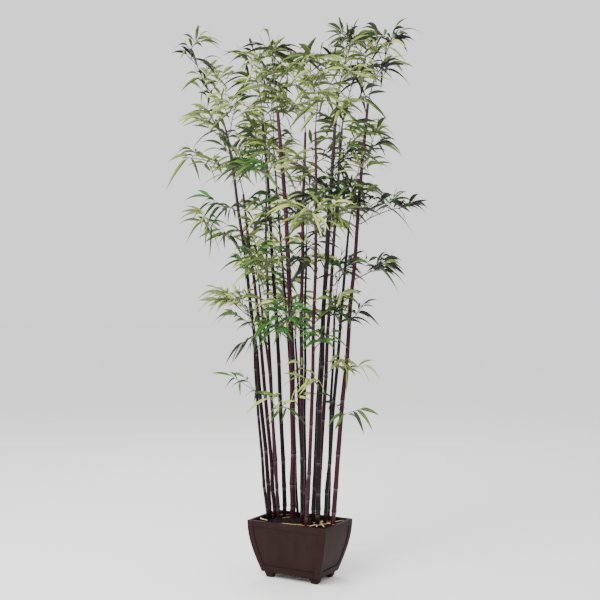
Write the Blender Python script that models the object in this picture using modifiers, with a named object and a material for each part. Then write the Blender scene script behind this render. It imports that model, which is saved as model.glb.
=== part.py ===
"""Artificial black bamboo in a bowed wooden planter, in metres, +Z up.

The planter's long side lies along X and it stands on z = 0. Eighteen canes lean out of the soil,
and leaf sprays grow from their joints and from their cut tips. Each spray is fused into one solid.
"""

import math
import random
from dataclasses import dataclass

import bmesh
import bpy
from mathutils import Matrix, Vector
from mathutils.bvhtree import BVHTree

GAP = 0.0003
UP = Vector((0, 0, 1))
SECTION_SPAN = math.sin(math.radians(60))

# The canes are laid out as seen from one corner of the planter: right and back of its centre.
VIEW_TURN = math.radians(29.7)
RIGHT = Vector((math.cos(VIEW_TURN), math.sin(VIEW_TURN), 0))
BACK = Vector((-math.sin(VIEW_TURN), math.cos(VIEW_TURN), 0))

# Planter: outer sizes at the rim and at the underside, walls, frame and feet.
RIM_LENGTH, RIM_DEPTH = 0.330, 0.214
BASE_LENGTH, BASE_DEPTH = 0.240, 0.156
FOOT_HEIGHT = 0.022
RIM_HEIGHT = 0.213
WALL = 0.013
FLOOR = 0.012
STILE = 0.023
BOTTOM_RAIL, TOP_RAIL = 0.025, 0.022
PANEL_SINK, PANEL_EDGE = 0.0025, 0.002
FOOT_TOP, FOOT_SOLE = 0.038, 0.026
FOOT_INSET = 0.006
FOOT_EASE = 0.003
BOW_ROWS = 5

# Soil: a flat bed just under the rim, with its edge worn down against the walls.
SOIL_TOP = 0.203
SOIL_SIDE_GAP = 0.0008
SOIL_EDGE = 0.008

# Canes: joints closer together at the foot, and a slight kink at each joint.
FOOT_JOINTS = (0.045, 0.120, 0.225)
JOINT_SPACING = 0.175
JOINT_SWELL = 1.12
TIP_TAPER = 0.62
KINK = 0.0022
UPRIGHT_FOOT = 0.012

# Sprays: a stem with side twigs, and a fan of leaves at the end of each.
STEM_RADIUS, STEM_TAPER = 0.0030, 0.75
TWIG_RADIUS, TWIG_TAPER = 0.0019, 0.95
TWIG_LONGEST, TWIG_SHORTEST = 0.125, 0.055
PEG = 0.007
STEM_STEPS = 4
STEM_KINK = 0.004
LEAF_LENGTH, LEAF_WIDTH = 0.112, 0.0180
LEAF_THICKNESS = 0.0020
LEAF_ROOT = 0.0007
LEAF_SHOULDER = 0.36
LEAF_CLEAR_FROM = 0.16
LEAF_ROLL = 65
FAN_LEAVES = 4
FAN_SPACING = 0.007
PAD = 0.0012

# A stem that would meet something turns by the first of these many degrees that has room.
STEM_TURNS = (0, 12, -12, 24, -24, 36, -36, 50, -50, 70, -70)
TWIG_TRIES, LEAF_TRIES = 4, 5

# No leaf passes these half-extents from the planter's centre, or this height.
CROWN_HALF_LENGTH, CROWN_HALF_DEPTH = 0.452, 0.365
CROWN_TOP = 2.130


@dataclass(frozen=True)
class Cane:
    """One cane: its foot and tip right and back of the centre, its tip's height, bow and thickness."""

    foot_right: float
    foot_back: float
    tip_right: float
    tip_back: float
    tip_height: float
    bow: float
    thickness: float
    red: bool


CANES = {
    "cane_01": Cane(-0.121, 0.034, -0.174, 0.000, 0.92, -0.005, 0.012, False),
    "cane_02": Cane(-0.113, 0.060, -0.281, 0.100, 1.68, 0.018, 0.015, False),
    "cane_03": Cane(-0.097, 0.090, -0.222, 0.150, 1.44, 0.013, 0.015, True),
    "cane_04": Cane(-0.082, 0.061, -0.156, 0.020, 1.09, 0.013, 0.012, True),
    "cane_05": Cane(-0.083, 0.116, -0.134, 0.205, 1.45, -0.010, 0.013, False),
    "cane_06": Cane(-0.059, 0.097, -0.142, 0.110, 1.71, 0.009, 0.016, False),
    "cane_07": Cane(-0.029, 0.062, -0.081, -0.010, 1.73, 0.021, 0.021, True),
    "cane_08": Cane(-0.008, 0.083, -0.097, 0.180, 1.55, 0.006, 0.011, False),
    "cane_09": Cane(0.006, -0.049, -0.017, -0.090, 0.89, 0.007, 0.012, False),
    "cane_10": Cane(0.013, -0.002, 0.022, 0.030, 1.66, -0.012, 0.016, True),
    "cane_11": Cane(0.021, 0.055, 0.024, 0.150, 1.27, -0.004, 0.012, False),
    "cane_12": Cane(0.022, -0.084, 0.057, -0.165, 1.63, 0.010, 0.014, True),
    "cane_13": Cane(0.049, -0.015, 0.108, -0.040, 1.44, -0.003, 0.015, False),
    "cane_14": Cane(0.063, -0.071, 0.134, -0.130, 1.75, -0.012, 0.017, False),
    "cane_15": Cane(0.068, 0.030, 0.160, 0.115, 1.69, -0.005, 0.015, True),
    "cane_16": Cane(0.091, -0.040, 0.179, -0.085, 1.29, -0.002, 0.014, False),
    "cane_17": Cane(0.106, 0.003, 0.136, 0.060, 1.05, -0.004, 0.012, False),
    "cane_18": Cane(0.120, -0.063, 0.247, -0.065, 1.75, 0.000, 0.017, True),
}


@dataclass(frozen=True)
class Spray:
    """One spray: its cane, its height there (None on the cut tip), where it points and how far.

    Bearing is in degrees from right towards back, rise in degrees above level.
    """

    cane: str
    height: float | None
    bearing: float
    rise: float
    reach: float
    forks: int
    sag: float


TIP_SPRAYS = {
    "tip_spray_01": Spray("cane_01", None, 190, 66, 0.14, 3, 0.10),
    "tip_spray_02": Spray("cane_02", None, 176, 66, 0.39, 5, 0.04),
    "tip_spray_03": Spray("cane_03", None, 150, 72, 0.29, 4, 0.05),
    "tip_spray_04": Spray("cane_04", None, 215, 72, 0.15, 2, 0.05),
    "tip_spray_05": Spray("cane_05", None, 105, 70, 0.28, 4, 0.05),
    "tip_spray_06": Spray("cane_06", None, 130, 80, 0.30, 5, 0.04),
    "tip_spray_07": Spray("cane_07", None, 235, 80, 0.27, 5, 0.04),
    "tip_spray_08": Spray("cane_08", None, 95, 76, 0.32, 5, 0.05),
    "tip_spray_09": Spray("cane_09", None, 250, 68, 0.14, 2, 0.05),
    "tip_spray_10": Spray("cane_10", None, 160, 78, 0.31, 5, 0.04),
    "tip_spray_11": Spray("cane_11", None, 80, 74, 0.26, 4, 0.05),
    "tip_spray_12": Spray("cane_12", None, 280, 72, 0.28, 5, 0.05),
    "tip_spray_13": Spray("cane_13", None, 330, 78, 0.28, 4, 0.04),
    "tip_spray_14": Spray("cane_14", None, 330, 76, 0.24, 5, 0.04),
    "tip_spray_15": Spray("cane_15", None, 10, 77, 0.37, 5, 0.04),
    "tip_spray_16": Spray("cane_16", None, 300, 74, 0.26, 4, 0.05),
    "tip_spray_17": Spray("cane_17", None, 60, 72, 0.15, 2, 0.05),
    "tip_spray_18": Spray("cane_18", None, 8, 70, 0.31, 5, 0.05),
}

SIDE_SPRAYS = {
    "side_spray_01": Spray("cane_02", 1.53, 184, 26, 0.20, 3, 0.22),
    "side_spray_02": Spray("cane_02", 1.23, 182, 44, 0.21, 3, 0.20),
    "side_spray_03": Spray("cane_02", 0.97, 196, 44, 0.15, 3, 0.25),
    "side_spray_04": Spray("cane_01", 0.68, 262, 42, 0.03, 2, 0.25),
    "side_spray_05": Spray("cane_04", 0.62, 300, 18, 0.12, 3, 0.20),
    "side_spray_06": Spray("cane_18", 0.60, 275, 45, 0.04, 2, 0.25),
    "side_spray_07": Spray("cane_18", 0.75, 285, 55, 0.06, 3, 0.25),
    "side_spray_08": Spray("cane_13", 0.70, 250, 38, 0.13, 3, 0.25),
    "side_spray_09": Spray("cane_18", 1.11, 350, 30, 0.12, 3, 0.25),
    "side_spray_10": Spray("cane_07", 0.88, 232, 42, 0.15, 3, 0.25),
    "side_spray_11": Spray("cane_07", 1.13, 215, 32, 0.16, 3, 0.25),
    "side_spray_12": Spray("cane_12", 0.84, 285, 38, 0.15, 3, 0.25),
    "side_spray_13": Spray("cane_08", 1.04, 100, 36, 0.18, 3, 0.25),
    "side_spray_14": Spray("cane_18", 0.93, 275, 52, 0.07, 3, 0.25),
    "side_spray_15": Spray("cane_18", 1.31, 352, 32, 0.19, 4, 0.22),
    "side_spray_16": Spray("cane_12", 1.28, 262, 36, 0.17, 3, 0.25),
    "side_spray_17": Spray("cane_07", 1.44, 225, 40, 0.19, 3, 0.25),
    "side_spray_18": Spray("cane_15", 1.32, 72, 38, 0.19, 3, 0.25),
}


def clear_scene():
    """Removes the startup objects."""
    for found in list(bpy.data.objects):
        bpy.data.objects.remove(found)


def new_collection(name):
    """A collection in the scene."""
    made = bpy.data.collections.new(name)
    bpy.context.scene.collection.children.link(made)
    return made


def new_material(name, colour, roughness):
    """A plain Principled finish."""
    material = bpy.data.materials.new(name)
    material.use_nodes = True
    shader = material.node_tree.nodes["Principled BSDF"]
    shader.inputs["Base Color"].default_value = (*colour, 1)
    shader.inputs["Roughness"].default_value = roughness
    return material


def object_from(name, built, collection, material=None):
    """An object that holds the bmesh, which is freed."""
    mesh = bpy.data.meshes.new(name)
    built.to_mesh(mesh)
    built.free()
    made = bpy.data.objects.new(name, mesh)
    collection.objects.link(made)
    if material:
        mesh.materials.append(material)
    return made


def evaluated_mesh(source):
    """A new mesh with the object's modifiers applied and a curve's caps welded, in world space."""
    graph = bpy.context.evaluated_depsgraph_get()
    mesh = bpy.data.meshes.new_from_object(source.evaluated_get(graph))
    welded = bmesh.new()
    welded.from_mesh(mesh)
    bmesh.ops.remove_doubles(welded, verts=welded.verts, dist=1e-6)
    welded.to_mesh(mesh)
    welded.free()
    mesh.transform(source.matrix_world)
    return mesh


def placed(right, back, height):
    """The point this far right and back of the planter's centre, at this height."""
    return RIGHT * right + BACK * back + UP * height


def half_sizes(height, inset):
    """Half the planter's length and depth at a height: the walls bow out and end upright at the rim."""
    share = (height - FOOT_HEIGHT) / (RIM_HEIGHT - FOOT_HEIGHT)
    flare = math.sin(min(1, share) * math.pi / 2)
    length = BASE_LENGTH + (RIM_LENGTH - BASE_LENGTH) * flare
    depth = BASE_DEPTH + (RIM_DEPTH - BASE_DEPTH) * flare
    return length / 2 - inset, depth / 2 - inset


def bow_heights():
    """Heights of the rows that follow the bow, from the bottom rail's top edge to the top rail's foot."""
    low, high = FOOT_HEIGHT + BOTTOM_RAIL, RIM_HEIGHT - TOP_RAIL
    return [low + (high - low) * i / (BOW_ROWS - 2) for i in range(BOW_ROWS - 1)]


def bowed_block(inset, bottom, top, framed):
    """A solid between two heights that follows the planter's bowed walls, this far inside them."""
    built = bmesh.new()
    bmesh.ops.create_cube(built, size=2)
    cuts = [(UP, UP * (2 * (z - bottom) / (top - bottom) - 1)) for z in bow_heights() if bottom < z < top]
    if framed:
        for axis, size in ((Vector((1, 0, 0)), RIM_LENGTH), (Vector((0, 1, 0)), RIM_DEPTH)):
            share = 1 - 2 * STILE / size
            cuts += [(axis, axis * share), (axis, axis * -share)]
    for normal, point in cuts:
        everything = built.verts[:] + built.edges[:] + built.faces[:]
        bmesh.ops.bisect_plane(built, geom=everything, plane_co=point, plane_no=normal)
    for vert in built.verts:
        height = bottom + (top - bottom) * (vert.co.z + 1) / 2
        half_length, half_depth = half_sizes(height, inset)
        vert.co = Vector((vert.co.x * half_length, vert.co.y * half_depth, height))
    return built


def sink_panels(built):
    """Sinks the middle of each wall behind its frame of stiles and rails."""
    low, high = FOOT_HEIGHT + BOTTOM_RAIL, RIM_HEIGHT - TOP_RAIL
    built.normal_update()
    for axis in (0, 1):
        for side in (-1, 1):
            panel = []
            for face in built.faces:
                centre = face.calc_center_median()
                edge = half_sizes(centre.z, 0)[1 - axis] * (1 - 2 * STILE / (RIM_DEPTH, RIM_LENGTH)[axis])
                if face.normal[axis] * side > 0.7 and low < centre.z < high and abs(centre[1 - axis]) < edge:
                    panel.append(face)
            bmesh.ops.inset_region(
                built, faces=panel, thickness=PANEL_EDGE, depth=-PANEL_SINK, use_even_offset=True
            )


def build_planter(parts, cutters, wood):
    """The planter: four bowed, framed walls and a floor, open at the top."""
    block = bowed_block(0, FOOT_HEIGHT, RIM_HEIGHT, framed=True)
    sink_panels(block)
    planter = object_from("planter", block, parts, wood)
    cavity = object_from(
        "planter_cavity", bowed_block(WALL, FOOT_HEIGHT + FLOOR, RIM_HEIGHT + FLOOR, framed=False), cutters
    )
    cavity.hide_render = True
    cavity.display_type = "WIRE"
    hollow = planter.modifiers.new("hollow", "BOOLEAN")
    hollow.operation = "DIFFERENCE"
    hollow.solver = "EXACT"
    hollow.object = cavity


def build_feet(parts, wood):
    """Four stubby feet that taper to their soles, one under each corner."""
    for side_y, row in ((-1, "front"), (1, "back")):
        for side_x, column in ((-1, "left"), (1, "right")):
            built = bmesh.new()
            bmesh.ops.create_cube(built, size=1)
            height = FOOT_HEIGHT - GAP
            for vert in built.verts:
                width = FOOT_TOP if vert.co.z > 0 else FOOT_SOLE
                vert.co = Vector((vert.co.x * width, vert.co.y * width, (vert.co.z + 0.5) * height))
            foot = object_from(f"planter_foot_{row}_{column}", built, parts, wood)
            foot.location = (
                side_x * (BASE_LENGTH / 2 - FOOT_INSET - FOOT_TOP / 2),
                side_y * (BASE_DEPTH / 2 - FOOT_INSET - FOOT_TOP / 2),
                0,
            )
            ease = foot.modifiers.new("eased edges", "BEVEL")
            ease.width = FOOT_EASE
            ease.segments = 1


def build_soil(parts, earth):
    """The bed that the canes stand in: it fills the planter to just under the rim."""
    bed = bowed_block(WALL + SOIL_SIDE_GAP, FOOT_HEIGHT + FLOOR + GAP, SOIL_TOP, framed=False)
    rim = [edge for edge in bed.edges if all(vert.co.z > SOIL_TOP - 1e-6 for vert in edge.verts)]
    bmesh.ops.bevel(bed, geom=rim, offset=SOIL_EDGE, segments=1, affect="EDGES")
    object_from("soil", bed, parts, earth)


def joint_heights(name, cane):
    """Heights above the soil of the cane's joints, by a seeded rule."""
    dice = random.Random(name)
    shift = dice.uniform(0.85, 1.2)
    heights = [joint * shift for joint in FOOT_JOINTS]
    length = cane.tip_height - SOIL_TOP
    while heights[-1] + 1.3 * JOINT_SPACING < length:
        heights.append(heights[-1] + JOINT_SPACING * dice.uniform(0.85, 1.15))
    return heights


def cane_points(name, cane):
    """The cane's centreline as (point, radius) pairs: an upright foot, its joints and its tip."""
    dice = random.Random(name + " kinks")
    foot_height = SOIL_TOP + GAP
    length = cane.tip_height - foot_height
    foot = placed(cane.foot_right, cane.foot_back, foot_height)
    points = [(foot, cane.thickness / 2), (foot + UP * UPRIGHT_FOOT, cane.thickness / 2)]
    for number, above in enumerate([*joint_heights(name, cane), length]):
        share = above / length
        bow = cane.bow * 4 * share * (1 - share)
        right = cane.foot_right + (cane.tip_right - cane.foot_right) * share + bow
        back = cane.foot_back + (cane.tip_back - cane.foot_back) * share
        centre = placed(right, back, foot_height + above)
        kink = KINK * (-1) ** number
        turn = dice.uniform(0, math.pi)
        centre += Vector((math.cos(turn), math.sin(turn), 0)) * kink
        radius = cane.thickness / 2 * (1 - (1 - TIP_TAPER) * share)
        if share < 1:
            radius *= JOINT_SWELL
        points.append((centre, radius))
    return points


def tube(name, points, sides_resolution, collection, profile=None):
    """A curve object through (point, radius) pairs, round unless it has a profile."""
    curve = bpy.data.curves.new(name, "CURVE")
    curve.dimensions = "3D"
    curve.use_fill_caps = True
    if profile:
        curve.bevel_mode = "OBJECT"
        curve.bevel_object = profile
    else:
        curve.bevel_depth = 1.0
        curve.bevel_resolution = sides_resolution
    spline = curve.splines.new("POLY")
    spline.points.add(len(points) - 1)
    for target, (point, radius) in zip(spline.points, points):
        target.co = (*point, 1)
        target.radius = radius
    made = bpy.data.objects.new(name, curve)
    collection.objects.link(made)
    return made


def build_canes(parts, black, red, room):
    """The canes, which the room is told of, and a search tree of each one's surface."""
    shapes = {}
    for name, cane in CANES.items():
        made = tube(name, cane_points(name, cane), 2, parts)
        made.data.materials.append(red if cane.red else black)
        shapes[name] = made
    bpy.context.view_layer.update()
    trees = {}
    for name, made in shapes.items():
        surface = bmesh.new()
        mesh = evaluated_mesh(made)
        surface.from_mesh(mesh)
        bpy.data.meshes.remove(mesh)
        trees[name] = room.take(name, surface)
        surface.free()
    return trees


def cane_centre(name, height):
    """The point of the cane's centreline at this height."""
    points = cane_points(name, CANES[name])
    for (low, _), (high, _) in zip(points, points[1:]):
        if low.z <= height <= high.z:
            return low.lerp(high, (height - low.z) / (high.z - low.z))
    return points[-1][0]


def heading(bearing, rise):
    """The direction at a bearing from right towards back, this far above level, both in degrees."""
    turn, lift = math.radians(bearing), math.radians(rise)
    level = RIGHT * math.cos(turn) + BACK * math.sin(turn)
    return level * math.cos(lift) + UP * math.sin(lift)


def stem_root(spray, trees):
    """Where the spray's stem starts, 0.3 mm clear of its cane, and the direction that it leaves in."""
    points = cane_points(spray.cane, CANES[spray.cane])
    if spray.height is None:
        out = (points[-1][0] - points[-2][0]).normalized()
        return points[-1][0] + out * GAP, out
    centre = cane_centre(spray.cane, spray.height)
    level = heading(spray.bearing, 0)
    hit, normal, _, _ = trees[spray.cane].ray_cast(centre + level * 0.05, -level)
    return hit + normal * GAP, normal


def stem_points(name, spray, start, out, turn):
    """The stem's (point, radius) pairs: a short peg, then a kinked arc that rises and sags."""
    dice = random.Random(name)
    peg_end = start + out * PEG
    aim = heading(spray.bearing + turn, spray.rise)
    points = [(start, STEM_RADIUS), (peg_end, STEM_RADIUS)]
    for step in range(1, STEM_STEPS + 1):
        share = step / STEM_STEPS
        along = out.lerp(aim, min(1, share * 2)).normalized() if spray.height is None else aim
        centre = peg_end + along * spray.reach * share - UP * spray.sag * spray.reach * share**2
        kink = heading(dice.uniform(0, 360), 0) * STEM_KINK * (-1) ** step
        points.append((centre + kink, STEM_RADIUS * (1 - (1 - STEM_TAPER) * share)))
    return points


def along_stem(points, share):
    """The point and direction of the stem at this share of its length after the peg."""
    place = 1 + share * (len(points) - 2)
    index = min(int(place), len(points) - 2)
    low, high = points[index][0], points[index + 1][0]
    return low.lerp(high, place - index), (high - low).normalized()


def bearing_of(direction):
    """The bearing in degrees of a direction, from right towards back."""
    return math.degrees(math.atan2(direction.dot(BACK), direction.dot(RIGHT)))


def rise_of(direction):
    """How far a direction rises above level, in degrees."""
    return math.degrees(math.asin(max(-1, min(1, direction.z))))


def twig_line(name, spray, points, fork, attempt):
    """One twig as a (start, end) pair: they alternate along the stem, the lower ones longer."""
    dice = random.Random(f"{name} twig {fork} {attempt}")
    share = 0.10 + 0.84 * (fork + dice.uniform(0.1, 0.7)) / spray.forks
    start, direction = along_stem(points, share)
    if spray.height is None:
        turn = spray.bearing + 137.5 * fork + dice.uniform(-40, 40)
        rise = dice.uniform(25, 58)
    else:
        side = 1 if fork % 2 else -1
        turn = bearing_of(direction) + side * dice.uniform(32, 70)
        rise = rise_of(direction) * 0.5 + dice.uniform(-5, 32)
    length = (TWIG_LONGEST + (TWIG_SHORTEST - TWIG_LONGEST) * share) * dice.uniform(0.75, 1.15)
    return start, start + heading(turn, rise) * length


@dataclass(frozen=True)
class Leaf:
    """One leaf: where it is rooted, its first direction, length, width, droop and roll."""

    root: Vector
    direction: Vector
    length: float
    width: float
    droop: float
    roll: float

    def spine(self, share):
        """The point of the midrib at this share of the leaf's length."""
        return self.root + self.direction * self.length * share - UP * self.droop * self.length * share**2


def fan_leaf(name, fork, slot, attempt, twig):
    """One leaf of a twig's fan: slot 0 carries on from its end, the others alternate down its sides."""
    start, end = twig
    dice = random.Random(f"{name} twig {fork} leaf {slot} {attempt}")
    direction = (end - start).normalized()
    side = 1 if (slot + fork) % 2 else -1
    if slot:
        spread = side * (24 + 17 * slot) * (1 + 0.6 * abs(direction.z)) + dice.uniform(-16, 16)
        rise = rise_of(direction) * 0.55 + dice.uniform(-22, 22) - 5 * slot
    else:
        spread = dice.uniform(-9, 9)
        rise = rise_of(direction) - dice.uniform(4, 22)
    return Leaf(
        root=end - direction * FAN_SPACING * slot,
        direction=heading(bearing_of(direction) + spread, rise),
        length=LEAF_LENGTH * dice.uniform(0.72, 1.08),
        width=LEAF_WIDTH * dice.uniform(0.85, 1.1),
        droop=dice.uniform(0.15, 0.50),
        roll=math.radians(dice.uniform(-LEAF_ROLL, LEAF_ROLL)),
    )


class Room:
    """What is taken up so far: a search tree and a box for each cane, stem, twig and leaf."""

    def __init__(self):
        self.taken = []

    @staticmethod
    def box(shape):
        """The lowest and the highest corner of a shape."""
        corners = [vert.co for vert in shape.verts]
        low = [min(corner[axis] for corner in corners) for axis in range(3)]
        high = [max(corner[axis] for corner in corners) for axis in range(3)]
        return low, high

    def take(self, owner, shape):
        """Keeps a shape for its owner, and gives its search tree."""
        tree = BVHTree.FromBMesh(shape)
        self.taken.append((owner, tree, *self.box(shape)))
        return tree

    def free(self, shape, owners=None, but=()):
        """Whether a shape is in the crown's space and meets nothing of these owners, or of any but some."""
        low, high = self.box(shape)
        limits = (CROWN_HALF_LENGTH, CROWN_HALF_DEPTH)
        if high[2] > CROWN_TOP or any(max(-low[axis], high[axis]) > limits[axis] for axis in (0, 1)):
            return False
        tree = BVHTree.FromBMesh(shape)
        for owner, taken, taken_low, taken_high in self.taken:
            if owner in but or (owners and owner not in owners):
                continue
            near = all(low[axis] <= taken_high[axis] and taken_low[axis] <= high[axis] for axis in range(3))
            if near and tree.overlap(taken):
                return False
        return True


def lofted(rings, tip=None):
    """A closed three-sided solid through rings, each (centre, sideways, upwards), and to a pointed tip."""
    built = bmesh.new()
    first = Matrix.Translation((0, 0, 0.5))
    bmesh.ops.create_cone(built, cap_ends=True, segments=3, radius1=1, radius2=1, depth=1, matrix=first)
    end = max(built.faces, key=lambda face: face.calc_center_median().z)
    for _ in rings[2:]:
        end = bmesh.ops.extrude_discrete_faces(built, faces=[end])["faces"][0]
        bmesh.ops.translate(built, verts=end.verts, vec=UP)
    point = bmesh.ops.poke(built, faces=[end])["verts"][0] if tip else None
    for vert in built.verts:
        if vert == point:
            vert.co = tip
            continue
        centre, sideways, upwards = rings[round(vert.co.z)]
        vert.co = centre + sideways * vert.co.x + upwards * vert.co.y
    return built


def sideways_of(direction, roll=0.0):
    """The level vector across a direction, rolled about it."""
    level = direction.cross(UP)
    level = level.normalized() if level.length > 1e-3 else RIGHT.copy()
    return Matrix.Rotation(roll, 3, direction) @ level


def ring(centre, direction, side, half_width, half_height):
    """One section of a loft, square to its direction, its width as near to the side vector as that allows."""
    upwards = direction.cross(side).normalized()
    sideways = upwards.cross(direction)
    return centre, sideways * half_width / SECTION_SPAN, upwards * half_height


def shoulder_ring(leaf, side, pad=0.0):
    """The leaf's broadest section."""
    centre = leaf.spine(LEAF_SHOULDER)
    return ring(centre, leaf.direction, side, leaf.width / 2 + pad, LEAF_THICKNESS / 2 + pad)


def leaf_shape(leaf, pad=0.0, first=0.0):
    """A leaf from this share of its length on: a broad shoulder with a ridge, and a pointed tip."""
    side = sideways_of(leaf.direction, leaf.roll)
    root_width = LEAF_ROOT + (leaf.width / 2 - LEAF_ROOT) * first / LEAF_SHOULDER + pad
    root = ring(leaf.spine(first), leaf.direction, side, root_width, LEAF_ROOT + pad)
    return lofted([root, shoulder_ring(leaf, side, pad)], leaf.spine(1.0) + leaf.direction * pad)


def twig_shape(start, end, pad=0.0):
    """A straight, tapering, three-sided twig."""
    direction = (end - start).normalized()
    side = sideways_of(direction)
    radii = (TWIG_RADIUS + pad, TWIG_RADIUS * TWIG_TAPER + pad)
    return lofted([ring(point, direction, side, size, size) for point, size in zip((start, end), radii)])


def sprig_shape(start, leaf):
    """A twig that runs on into the leaf at its end, in one loft."""
    direction = (leaf.root - start).normalized()
    side = sideways_of(leaf.direction, leaf.roll)
    end_radius = TWIG_RADIUS * TWIG_TAPER
    rings = [
        ring(start, direction, side, TWIG_RADIUS, TWIG_RADIUS),
        ring(leaf.root, (direction + leaf.direction).normalized(), side, end_radius, end_radius),
        shoulder_ring(leaf, side),
    ]
    return lofted(rings, leaf.spine(1.0))


def largest_piece(mesh):
    """Drops loose scraps that a union left: only the piece with the most faces stays."""
    built = bmesh.new()
    built.from_mesh(mesh)
    unseen = set(built.faces)
    pieces = []
    while unseen:
        front = [unseen.pop()]
        piece = set(front)
        while front:
            for edge in front.pop().edges:
                for face in edge.link_faces:
                    if face in unseen:
                        unseen.remove(face)
                        piece.add(face)
                        front.append(face)
        pieces.append(piece)
    pieces.sort(key=len)
    scraps = [face for piece in pieces[:-1] for face in piece]
    bmesh.ops.delete(built, geom=scraps, context="FACES")
    built.to_mesh(mesh)
    built.free()


def fuse(name, stem, shapes, parts, leaf_green):
    """Joins the stem with its twigs and leaves into one object."""
    bunch = new_collection(f"{name} pieces")
    for number, shape in enumerate(shapes):
        object_from(f"{name} piece {number}", shape, bunch)
    base = bpy.data.objects.new(name, evaluated_mesh(stem))
    parts.objects.link(base)
    union = base.modifiers.new("fused", "BOOLEAN")
    union.operation = "UNION"
    union.operand_type = "COLLECTION"
    union.collection = bunch
    union.solver = "EXACT"
    bpy.context.view_layer.update()
    fused = evaluated_mesh(base)
    largest_piece(fused)
    base.modifiers.clear()
    base.data = fused
    fused.materials.clear()
    fused.materials.append(leaf_green)
    for piece in list(bunch.objects):
        bpy.data.objects.remove(piece)
    bpy.data.collections.remove(bunch)
    bpy.data.objects.remove(stem)


def stem_with_room(name, spray, trees, room, parts, profile):
    """The spray's stem as (points, object), turned aside where something is in its way."""
    start, out = stem_root(spray, trees)
    for turn in STEM_TURNS:
        points = stem_points(name, spray, start, out, turn)
        padded = tube(f"{name} stem", [(point, radius + PAD) for point, radius in points], 0, parts, profile)
        bpy.context.view_layer.update()
        mesh = evaluated_mesh(padded)
        shape = bmesh.new()
        shape.from_mesh(mesh)
        bpy.data.meshes.remove(mesh)
        bpy.data.objects.remove(padded)
        clear = room.free(shape, but=(spray.cane,))
        if clear:
            room.take(name, shape)
        shape.free()
        if clear:
            return points, tube(f"{name} stem", points, 0, parts, profile)
    raise RuntimeError(f"{name}: no room for its stem")


def leaf_with_room(name, fork, slot, twig, room):
    """The first leaf of this slot that meets nothing, or None."""
    for attempt in range(LEAF_TRIES):
        leaf = fan_leaf(name, fork, slot, attempt, twig)
        padded = leaf_shape(leaf, pad=PAD)
        blade = leaf_shape(leaf, first=LEAF_CLEAR_FROM)
        if room.free(padded, but=(name,)) and room.free(blade, owners=(name,)):
            return leaf
    return None


def twig_with_room(name, spray, fork, points, room):
    """The first try at this twig, with the leaf at its end, that meets nothing, or None."""
    for attempt in range(TWIG_TRIES):
        twig = twig_line(name, spray, points, fork, attempt)
        if room.free(twig_shape(*twig, pad=PAD), but=(name,)):
            leaf = leaf_with_room(name, fork, 0, twig, room)
            if leaf:
                return twig, leaf
    return None


def leafy_shapes(name, spray, points, room):
    """The twigs and leaves of one spray that have room, each as a closed shape."""
    tip, direction = along_stem(points, 1.0)
    ends = [(spray.forks, (tip - direction * FAN_SPACING * FAN_LEAVES, tip), None)]
    for fork in range(spray.forks):
        found = twig_with_room(name, spray, fork, points, room)
        if found:
            ends.append((fork, *found))
    shapes = []
    for fork, twig, leaf in ends:
        if leaf:
            shapes.append(sprig_shape(twig[0], leaf))
            room.take(name, shapes[-1])
        for slot in range(1 if leaf else 0, FAN_LEAVES - fork % 2):
            side_leaf = leaf_with_room(name, fork, slot, twig, room)
            if side_leaf:
                shapes.append(leaf_shape(side_leaf))
                room.take(name, shapes[-1])
    return shapes


def build_sprays(trees, parts, profile, leaf_green, room):
    """The sprays: every stem first, then the twigs and leaves that the stems leave room for."""
    sprays = {**SIDE_SPRAYS, **TIP_SPRAYS}
    stems = {
        name: stem_with_room(name, spray, trees, room, parts, profile) for name, spray in sprays.items()
    }
    for name, (points, stem) in stems.items():
        shapes = leafy_shapes(name, sprays[name], points, room)
        print(f"{name}: {len(shapes)} shapes")
        fuse(name, stem, shapes, parts, leaf_green)


def triangle_profile(cutters):
    """The three-sided outline that the stems are swept with."""
    curve = bpy.data.curves.new("stem_profile", "CURVE")
    spline = curve.splines.new("POLY")
    spline.points.add(2)
    for number, target in enumerate(spline.points):
        turn = math.radians(90 - 120 * number)
        target.co = (math.cos(turn), math.sin(turn), 0, 1)
    spline.use_cyclic_u = True
    made = bpy.data.objects.new("stem_profile", curve)
    made.hide_render = True
    cutters.objects.link(made)
    return made


def main():
    """Builds the planter, the soil, the canes and the sprays."""
    clear_scene()
    parts = new_collection("potted_bamboo")
    cutters = new_collection("cutters")
    wood = new_material("stained_wood", (0.055, 0.028, 0.024), 0.45)
    earth = new_material("dark_soil", (0.012, 0.010, 0.008), 0.95)
    black = new_material("black_cane", (0.030, 0.018, 0.024), 0.35)
    red = new_material("maroon_cane", (0.075, 0.018, 0.030), 0.35)
    leaf_green = new_material("leaf_green", (0.090, 0.150, 0.045), 0.55)
    build_planter(parts, cutters, wood)
    build_feet(parts, wood)
    build_soil(parts, earth)
    room = Room()
    trees = build_canes(parts, black, red, room)
    profile = triangle_profile(cutters)
    build_sprays(trees, parts, profile, leaf_green, room)


main()
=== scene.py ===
"""Looks of the artificial black bamboo in its bowed wooden planter, in metres, +Z up.

Each sub-assembly is a class that holds its sizes, builds its meshes and dresses them. The canes,
stems, twigs and leaves grow by the same seeded rule as the solids, and go on from there to finer
twigs and more leaves within the same reach.
"""

import logging
import math
import random
from dataclasses import dataclass, field
from enum import Enum

import bmesh
import bpy
from mathutils import Matrix, Vector


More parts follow.
